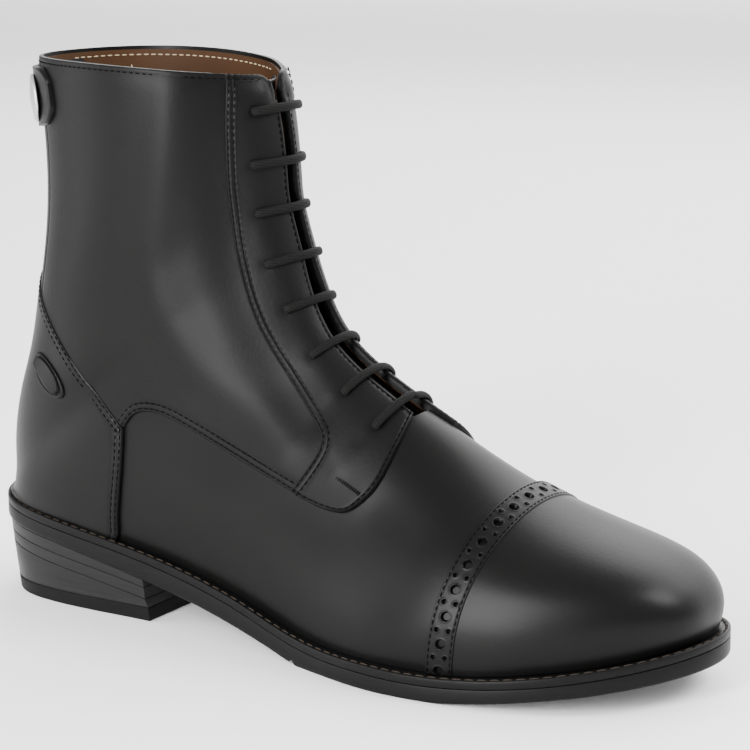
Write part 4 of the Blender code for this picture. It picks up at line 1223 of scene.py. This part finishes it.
def make_zip_guard():
    """Black leather strip inside the shaft behind the zip."""
    low, high = GUARD_STATIONS
    stations = np.linspace(low, high, 60)
    station, reach = np.broadcast_arrays(stations[:, None], np.linspace(-GUARD_SHARE, GUARD_SHARE, 41)[None])
    turn = round_back(reach)
    from_end = GUARD_RUN * np.minimum(station - low, high - station)
    border = np.minimum(GUARD_HALF * (1 - np.abs(reach) / GUARD_SHARE), from_end)
    mesh = bmesh.new()
    lay_grid(mesh, leather(station, turn, -WALL - LAID_ON),
             leather(station, turn, -WALL - LAID_ON - GUARD_THICK * rolled(border, 1.2)))
    finished("zip_guard", mesh, EDGE_LEATHER, "black_leather")


# ---- Stitches ----

def add_stitches(mesh, seam, lift, pitch=2.5, length=1.75, wide=0.5, high=0.45, start=0.5):
    """Short threads along a seam, each laid along it on the leather. The lift may depend on the station."""
    count = max(1, int(seam.length / pitch))
    shares = (np.arange(count) + start) / count
    places = seam.at(shares)
    lift = lift(places[:, 0]) if callable(lift) else lift
    nearby = seam.at(np.clip(shares + 0.002, 0, 1)), seam.at(np.clip(shares - 0.002, 0, 1))
    points = leather_at(places, lift)
    ways = leather_at(nearby[0], lift) - leather_at(nearby[1], lift)
    side, share = side_and_share(places[:, 1])
    normals = last_normal(places[:, 0], share, side)
    row = bmesh.new()
    for point, way, normal in zip(points, ways, normals):
        add_thread(row, point, way, normal, length, wide, high)
    data = bpy.data.meshes.new("row")
    row.to_mesh(data)
    row.free()
    mesh.from_mesh(data)
    bpy.data.meshes.remove(data)


def add_thread(mesh, point, way, normal, length, wide, high):
    way = Vector(way).normalized()
    aside = Vector(normal).cross(way).normalized()
    normal = way.cross(aside)
    ways = Matrix((aside * wide, normal * high, way * length)).transposed() * (MM / 2)
    bmesh.ops.create_uvsphere(mesh, u_segments=6, v_segments=5, radius=1.0,
                              matrix=Matrix.Translation(in_frame(point)) @ ways.to_4x4())


def facing_lift(station):
    """Height of the facing's stitches, lower where the leather thins towards the collar."""
    return skived(FACING_HIGH, (2 - station) * COLLAR_RISE) - THREAD_SUNK


def make_stitches():
    black, cream = bmesh.new(), bmesh.new()
    for side in (OUTER, INNER):
        turned = -side
        _, front, _, top = counter_seams(side)
        rear, throat, foot, facing_collar = facing_seams(side)
        _, quarter_collar, _, _ = quarter_seams(side)
        for row in SEAM_ROWS:
            for seam in (top, front.reversed()):
                add_stitches(black, seam.beside(-row * turned), COUNTER_HIGH - THREAD_SUNK)
            quarter_foot = Seam.seen(QUARTER_FOOT, side)
            add_stitches(black, quarter_foot.beside(row * turned), QUARTER_HIGH - THREAD_SUNK)
            add_stitches(black, rear.beside(-row * turned), facing_lift)
        add_stitches(black, foot.beside(SEAM_ROWS[0] * turned), FACING_HIGH - THREAD_SUNK)
        throat = Seam(throat.places[throat.places[:, 0] < CORNER_STATION])
        add_stitches(black, throat.beside(THROAT_ROW * turned), facing_lift)
        facing_collar = Seam(facing_collar.places[:int(CORNER_SHARE * len(facing_collar.places))])
        for collar, high in ((facing_collar, FACING_HIGH), (quarter_collar, QUARTER_HIGH)):
            add_stitches(black, collar.beside(-COLLAR_ROW * turned), high * COLLAR_THREAD)
        add_stitches(black, Seam.seen(BAR_STITCH, side), FACING_HIGH, pitch=0.95, length=0.8, wide=1.9)
        stop = throat_share(np.array(2.0)) - 0.02
        rim = run_of(2.0, on_side(np.linspace(0.05, stop, 120), side))
        add_stitches(cream, rim.beside((LINING_DROP + LINING_ROW) * side), LINING_FACE, **LINING_THREAD)
        down = np.linspace(0, 1, 60)
        stay = run_of(1.97 - 0.31 * down, on_side(0.235 + 0.04 * down ** 0.6, side))
        add_stitches(cream, stay, LINING_FACE, **LINING_THREAD)
    turns = np.linspace(0.01, 1.99, 300)
    for aside in (STRIP_ROW, STRIP_WIDE - STRIP_ROW):
        places = cap_places(turns, lambda _: np.array([aside]))[:, 0]
        add_stitches(black, Seam(places), STRIP_HIGH - 0.06, pitch=2.4, length=1.7)
    sewn("seam_stitches", black, BLACK_THREAD, "black_leather")
    sewn("lining_stitches", cream, CREAM_THREAD, "tan_leather")


# ---- Lace ----

def tube(mesh, centres, wides, thicks, wide, thick, around=14):
    """Flattened round cord along centres, with its ends closed."""
    angle = np.linspace(0, 2 * pi, around + 1)[None, :, None]
    flat, deep = wide / 2 * np.cos(angle), thick / 2 * np.sin(angle)
    rings = centres[:, None] + flat * wides[:, None] + deep * thicks[:, None]
    ends = [np.broadcast_to(c, rings[:1].shape) for c in (centres[:1, None], centres[-1:, None])]
    lay_grid(mesh, np.concatenate([ends[0], rings, ends[1]]))


def lace_path(station, half, loose):
    """Centre line of one bar of lace from inside one hole, over the throat, to inside the other."""
    points, normals, run = [], [], None
    for side in (OUTER, INNER):
        hole = float(share_at_half(station, half, 0.6, 1.0))
        shares = np.linspace(hole, 1.0, 24)
        small = 0.01
        run = last_point(station + small, 1.0, side) - last_point(station - small, 1.0, side)
        run = run / np.linalg.norm(run)
        start = last_point(station, hole, side)
        found = np.full(shares.shape, station)
        for _ in range(20):
            miss = (last_point(found, shares, side) - start) @ run
            rate = (last_point(found + small, shares, side) - last_point(found - small, shares, side)) @ run
            found = found - 0.8 * miss * 2 * small / rate
        line = last_point(found, shares, side)
        normal = last_normal(found, shares, np.full(shares.shape, side))
        away = lengths_along(line)
        turn_in = np.clip(away / LACE_BEND, 0, 1)
        lift = LACE_LIFT + loose - 0.9 * (1 - np.sqrt(1 - (1 - turn_in) ** 2))
        over = line + normal * lift[:, None]
        dive = line[:1] + normal[:1] * np.linspace(LACE_INSIDE_LIFT, lift[0] - 0.4, 8)[:, None]
        points.append(np.concatenate([dive, over]))
        normals.append(np.concatenate([np.repeat(normal[:1], 8, 0), normal]))
    path = np.concatenate([points[0], points[1][-2::-1]])
    return smooth_line(path[np.r_[0:8:2, 8:len(path) - 8, len(path) - 8:len(path):2]], 150), run


def make_lace():
    """Eight bars over the throat and the runs between their holes, all of one cord."""
    mesh = bmesh.new()
    for number, (station, half) in enumerate(LACE_HOLES):
        path, run = lace_path(station, half, 0.0 if number else TOP_BAR_LOOSE)
        way = unit(np.gradient(path, axis=0))
        wides = unit(run - (way @ run)[:, None] * way)
        tube(mesh, path, wides, np.cross(way, wides), LACE_WIDE, LACE_THICK)
    for side, first, last in LACE_RISERS:
        a, b = [lace_hole(*LACE_HOLES[number - 1], side) for number in (first, last)]
        places = a + (b - a) * np.linspace(0, 1, 40)[:, None]
        path = leather_at(places, LACE_INSIDE_LIFT)
        found, share = side_and_share(places[:, 1])
        thicks = last_normal(places[:, 0], share, found)
        wides = np.cross(thicks, unit(np.gradient(path, axis=0)))
        tube(mesh, path, wides, thicks, LACE_WIDE, LACE_INSIDE_THICK)
    bars = [f"lace_bar_{n + 1}" for n in range(len(LACE_HOLES))]
    finished("lace", mesh, LACE_CORD, "black_cord", *bars, sharp=60)


# ---- Sole ----

SOLE_SHARES = np.linspace(0, 1, 220)


def plan_loop(outline, inset, shares=SOLE_SHARES):
    """Closed loop round a plan outline: out along the outer side, back along the inner side."""
    along, centre, half = outline(shares)
    outer = np.stack([along, centre - half], 1)
    inner = np.stack([along, centre + half], 1)[-2:0:-1]
    loop = np.concatenate([outer, inner])
    way = unit(np.roll(loop, -1, 0) - np.roll(loop, 1, 0))
    return loop - inset * np.stack([way[:, 1], -way[:, 0]], 1)


def sole_edge(shares):
    return SOLE_LENGTH * (1 - np.cos(pi * shares)) / 2, sole_centre(shares), sole_half(shares)


def feather_edge(shares):
    along, centre, _, half = feather(shares)
    return along, centre, half


def ring(loop, height):
    return np.column_stack([loop, height(loop[:, 0])])


def lay_rings(mesh, rings, capped=True):
    """Closed rings joined in order. The first and last are closed from side to side."""
    lay_grid(mesh, np.stack([np.concatenate([r, r[:1]]) for r in rings]))
    for last in (rings[0], rings[-1]) if capped else ():
        count = len(last)
        inner = last[(-np.arange(count // 2 + 1)) % count]
        lay_grid(mesh, np.stack([last[:count // 2 + 1], inner], 1))


def make_welt():
    """Strip with a stitched channel and a rolled outer edge."""
    above_seat = lambda rise: lambda along: seat(along) + rise
    rings = [ring(plan_loop(feather_edge, WELT_INSIDE), above_seat(-3.3)),
             ring(plan_loop(feather_edge, WELT_INSIDE), above_seat(-0.3)),
             ring(plan_loop(feather_edge, 0.6), above_seat(-0.3))]
    for inset, rise in WELT_PROFILE:
        rings.append(ring(plan_loop(sole_edge, inset), above_seat(rise)))
    mesh = bmesh.new()
    lay_rings(mesh, rings + rings[:1], capped=False)
    finished("welt_strip", mesh, SOLE_EDGE, "black_leather", "welt", sharp=SOLE_SHARP)
    stitches = bmesh.new()
    path = ring(plan_loop(sole_edge, WELT_ROW), above_seat(-0.25))
    path = np.concatenate([path, path[:1]])
    run = lengths_along(path)
    count = int(run[-1] / WELT_PITCH)
    for number in range(count):
        at = [np.array([np.interp(share * run[-1] / count, run, column) for column in path.T])
              for share in (number + 0.45, number + 0.5, number + 0.55)]
        add_thread(stitches, at[1], at[2] - at[0], (0, 0, 1), WELT_PITCH * 0.78, 0.7, 0.7)
    sewn("welt_stitches", stitches, WELT_THREAD, "black_leather")


def make_outsole():
    groove = CROSS_GROOVE_ALONG + CROSS_GROOVE_WIDE / 2 * np.array([-1.02, -0.98, 0.98, 1.02])
    shares = np.sort(np.concatenate([SOLE_SHARES, turn_share(groove)]))
    rings = [ring(plan_loop(sole_edge, inset, shares), lambda along: seat(along) + rise)
             for inset, rise in OUTSOLE_TOP]
    rings += [ring(plan_loop(sole_edge, inset, shares), lambda along: underside(along) + rise)
              for inset, rise in OUTSOLE_FOOT]
    mesh = bmesh.new()
    lay_rings(mesh, rings)
    finished("outsole_edge", mesh, SOLE_EDGE, "sole_rubber", "outsole", sharp=SOLE_SHARP)


def heel_ring(drop_share, height, extra=0.0):
    """Plan loop of the heel behind its straight breast, drawn in by the taper."""
    side = HEEL_TOP_INSET + HEEL_SIDE_TAPER * drop_share + extra
    back = HEEL_TOP_INSET + HEEL_BACK_TAPER * drop_share + extra
    shares = np.linspace(0, float(turn_share(HEEL_BREAST)), 90)
    along, centre, half = sole_edge(shares)
    reach = np.clip(along / outline_along[2], 0, 1)
    half = half - (side * reach + back * (1 - reach)) * np.clip(half / 20, 0, 1)
    along = back + (HEEL_BREAST - extra - back) * along / HEEL_BREAST
    outer = np.stack([along, centre - half], 1)
    inner = np.stack([along, centre + half], 1)[:0:-1]
    return ring(np.concatenate([outer, inner]), height)


def make_heel():
    """Stack with its lift lines, and the wearing piece under it."""
    base = TOP_LIFT_THICK + 0.15
    flat = lambda level: lambda along: np.full(along.shape, level)
    under_sole = lambda drop: lambda along: underside(along) - drop
    rings = [heel_ring(0.0, under_sole(0.1), 0.3), heel_ring(0.0, under_sole(0.4))]
    for below in LIFT_LINES_BELOW_SEAT:
        for rise, deep in LIFT_LINE_PROFILE:
            height = lambda along: np.maximum(seat(along) - below + rise, base + 1 + rise)
            rings.append(heel_ring((below - LIFT_LINES_FROM) / HEEL_DROP, height, deep))
    share = 1 - TOP_LIFT_THICK / HEEL_DROP
    rings += [heel_ring(share, flat(base + 0.4)), heel_ring(share, flat(base), 0.3)]
    mesh = bmesh.new()
    lay_rings(mesh, rings)
    finished("heel_stack", mesh, HEEL_EDGE, "heel_stack", "heel_block", sharp=SOLE_SHARP)
    mesh = bmesh.new()
    lay_rings(mesh, [
        heel_ring(share, flat(TOP_LIFT_THICK), 0.3), heel_ring(share, flat(TOP_LIFT_THICK - 0.4)),
        heel_ring(1.0, flat(0.8)), heel_ring(1.0, flat(0.2), 0.2), heel_ring(1.0, flat(0.0), 0.7)])
    finished("heel_rubber", mesh, TOP_LIFT_RUBBER, "sole_rubber", "heel_top_lift", sharp=SOLE_SHARP)


def finish_insole():
    insole = frame["nodes"]["insole"]
    insole.data.materials.clear()
    insole.data.materials.append(LINING_LEATHER)


# ---- Stage ----

def make_stage():
    mesh = bmesh.new()
    bmesh.ops.create_grid(mesh, x_segments=1, y_segments=1, size=4.0)
    data = bpy.data.meshes.new("floor")
    mesh.to_mesh(data)
    mesh.free()
    data.materials.append(pale_floor())
    floor = bpy.data.objects.new("floor", data)
    bpy.context.scene.collection.objects.link(floor)
    world = bpy.data.worlds.new("studio")
    world.use_nodes = True
    world.node_tree.nodes["Background"].inputs["Color"].default_value = (1, 1, 1, 1)
    world.node_tree.nodes["Background"].inputs["Strength"].default_value = WORLD_STRENGTH
    bpy.context.scene.world = world
    for name, place, aim, size, power in LIGHTS:
        lamp = bpy.data.lights.new(name, "AREA")
        lamp.shape = "RECTANGLE"
        lamp.size, lamp.size_y = size
        lamp.energy = power
        light = bpy.data.objects.new(name, lamp)
        light.location = place
        light.visible_camera = False
        light.rotation_euler = (Vector(aim) - Vector(place)).to_track_quat("-Z", "Y").to_euler()
        bpy.context.scene.collection.objects.link(light)


def make_camera():
    azimuth, elevation, roll = [radians(a) for a in (CAMERA_AZIMUTH, CAMERA_ELEVATION, CAMERA_ROLL)]
    back = Vector((sin(azimuth) * cos(elevation), -cos(azimuth) * cos(elevation), sin(elevation)))
    right = Vector((cos(azimuth), sin(azimuth), 0))
    up = back.cross(right)
    rolled_right = cos(roll) * right + sin(roll) * up
    rolled_up = cos(roll) * up - sin(roll) * right
    data = bpy.data.cameras.new("camera")
    data.sensor_width = SENSOR
    data.lens = FOCAL_PIXELS * SENSOR / FRAME_PIXELS
    data.clip_start, data.clip_end = 0.01, 100.0
    camera = bpy.data.objects.new("camera", data)
    camera.matrix_world = Matrix.Translation(Vector(in_frame(CAMERA_AIM)) + back * CAMERA_AWAY * MM) @ Matrix(
        (rolled_right, rolled_up, back)).transposed().to_4x4()
    bpy.context.scene.collection.objects.link(camera)
    bpy.context.scene.camera = camera


make_camera()
make_stage()
make_upper()
make_toe_cap()
make_counter()
make_quarter("quarter_lateral", OUTER)
make_quarter("quarter_medial", INNER)
make_facing("facing_lateral", OUTER)
make_facing("facing_medial", INNER)
make_tongue()
make_snap_tab()
make_snap_button()
make_spur_rest("spur_rest_lateral", OUTER)
make_spur_rest("spur_rest_medial", INNER)
make_back_zip()
make_zip_guard()
make_stitches()
make_lace()
make_welt()
make_outsole()
make_heel()
finish_insole()
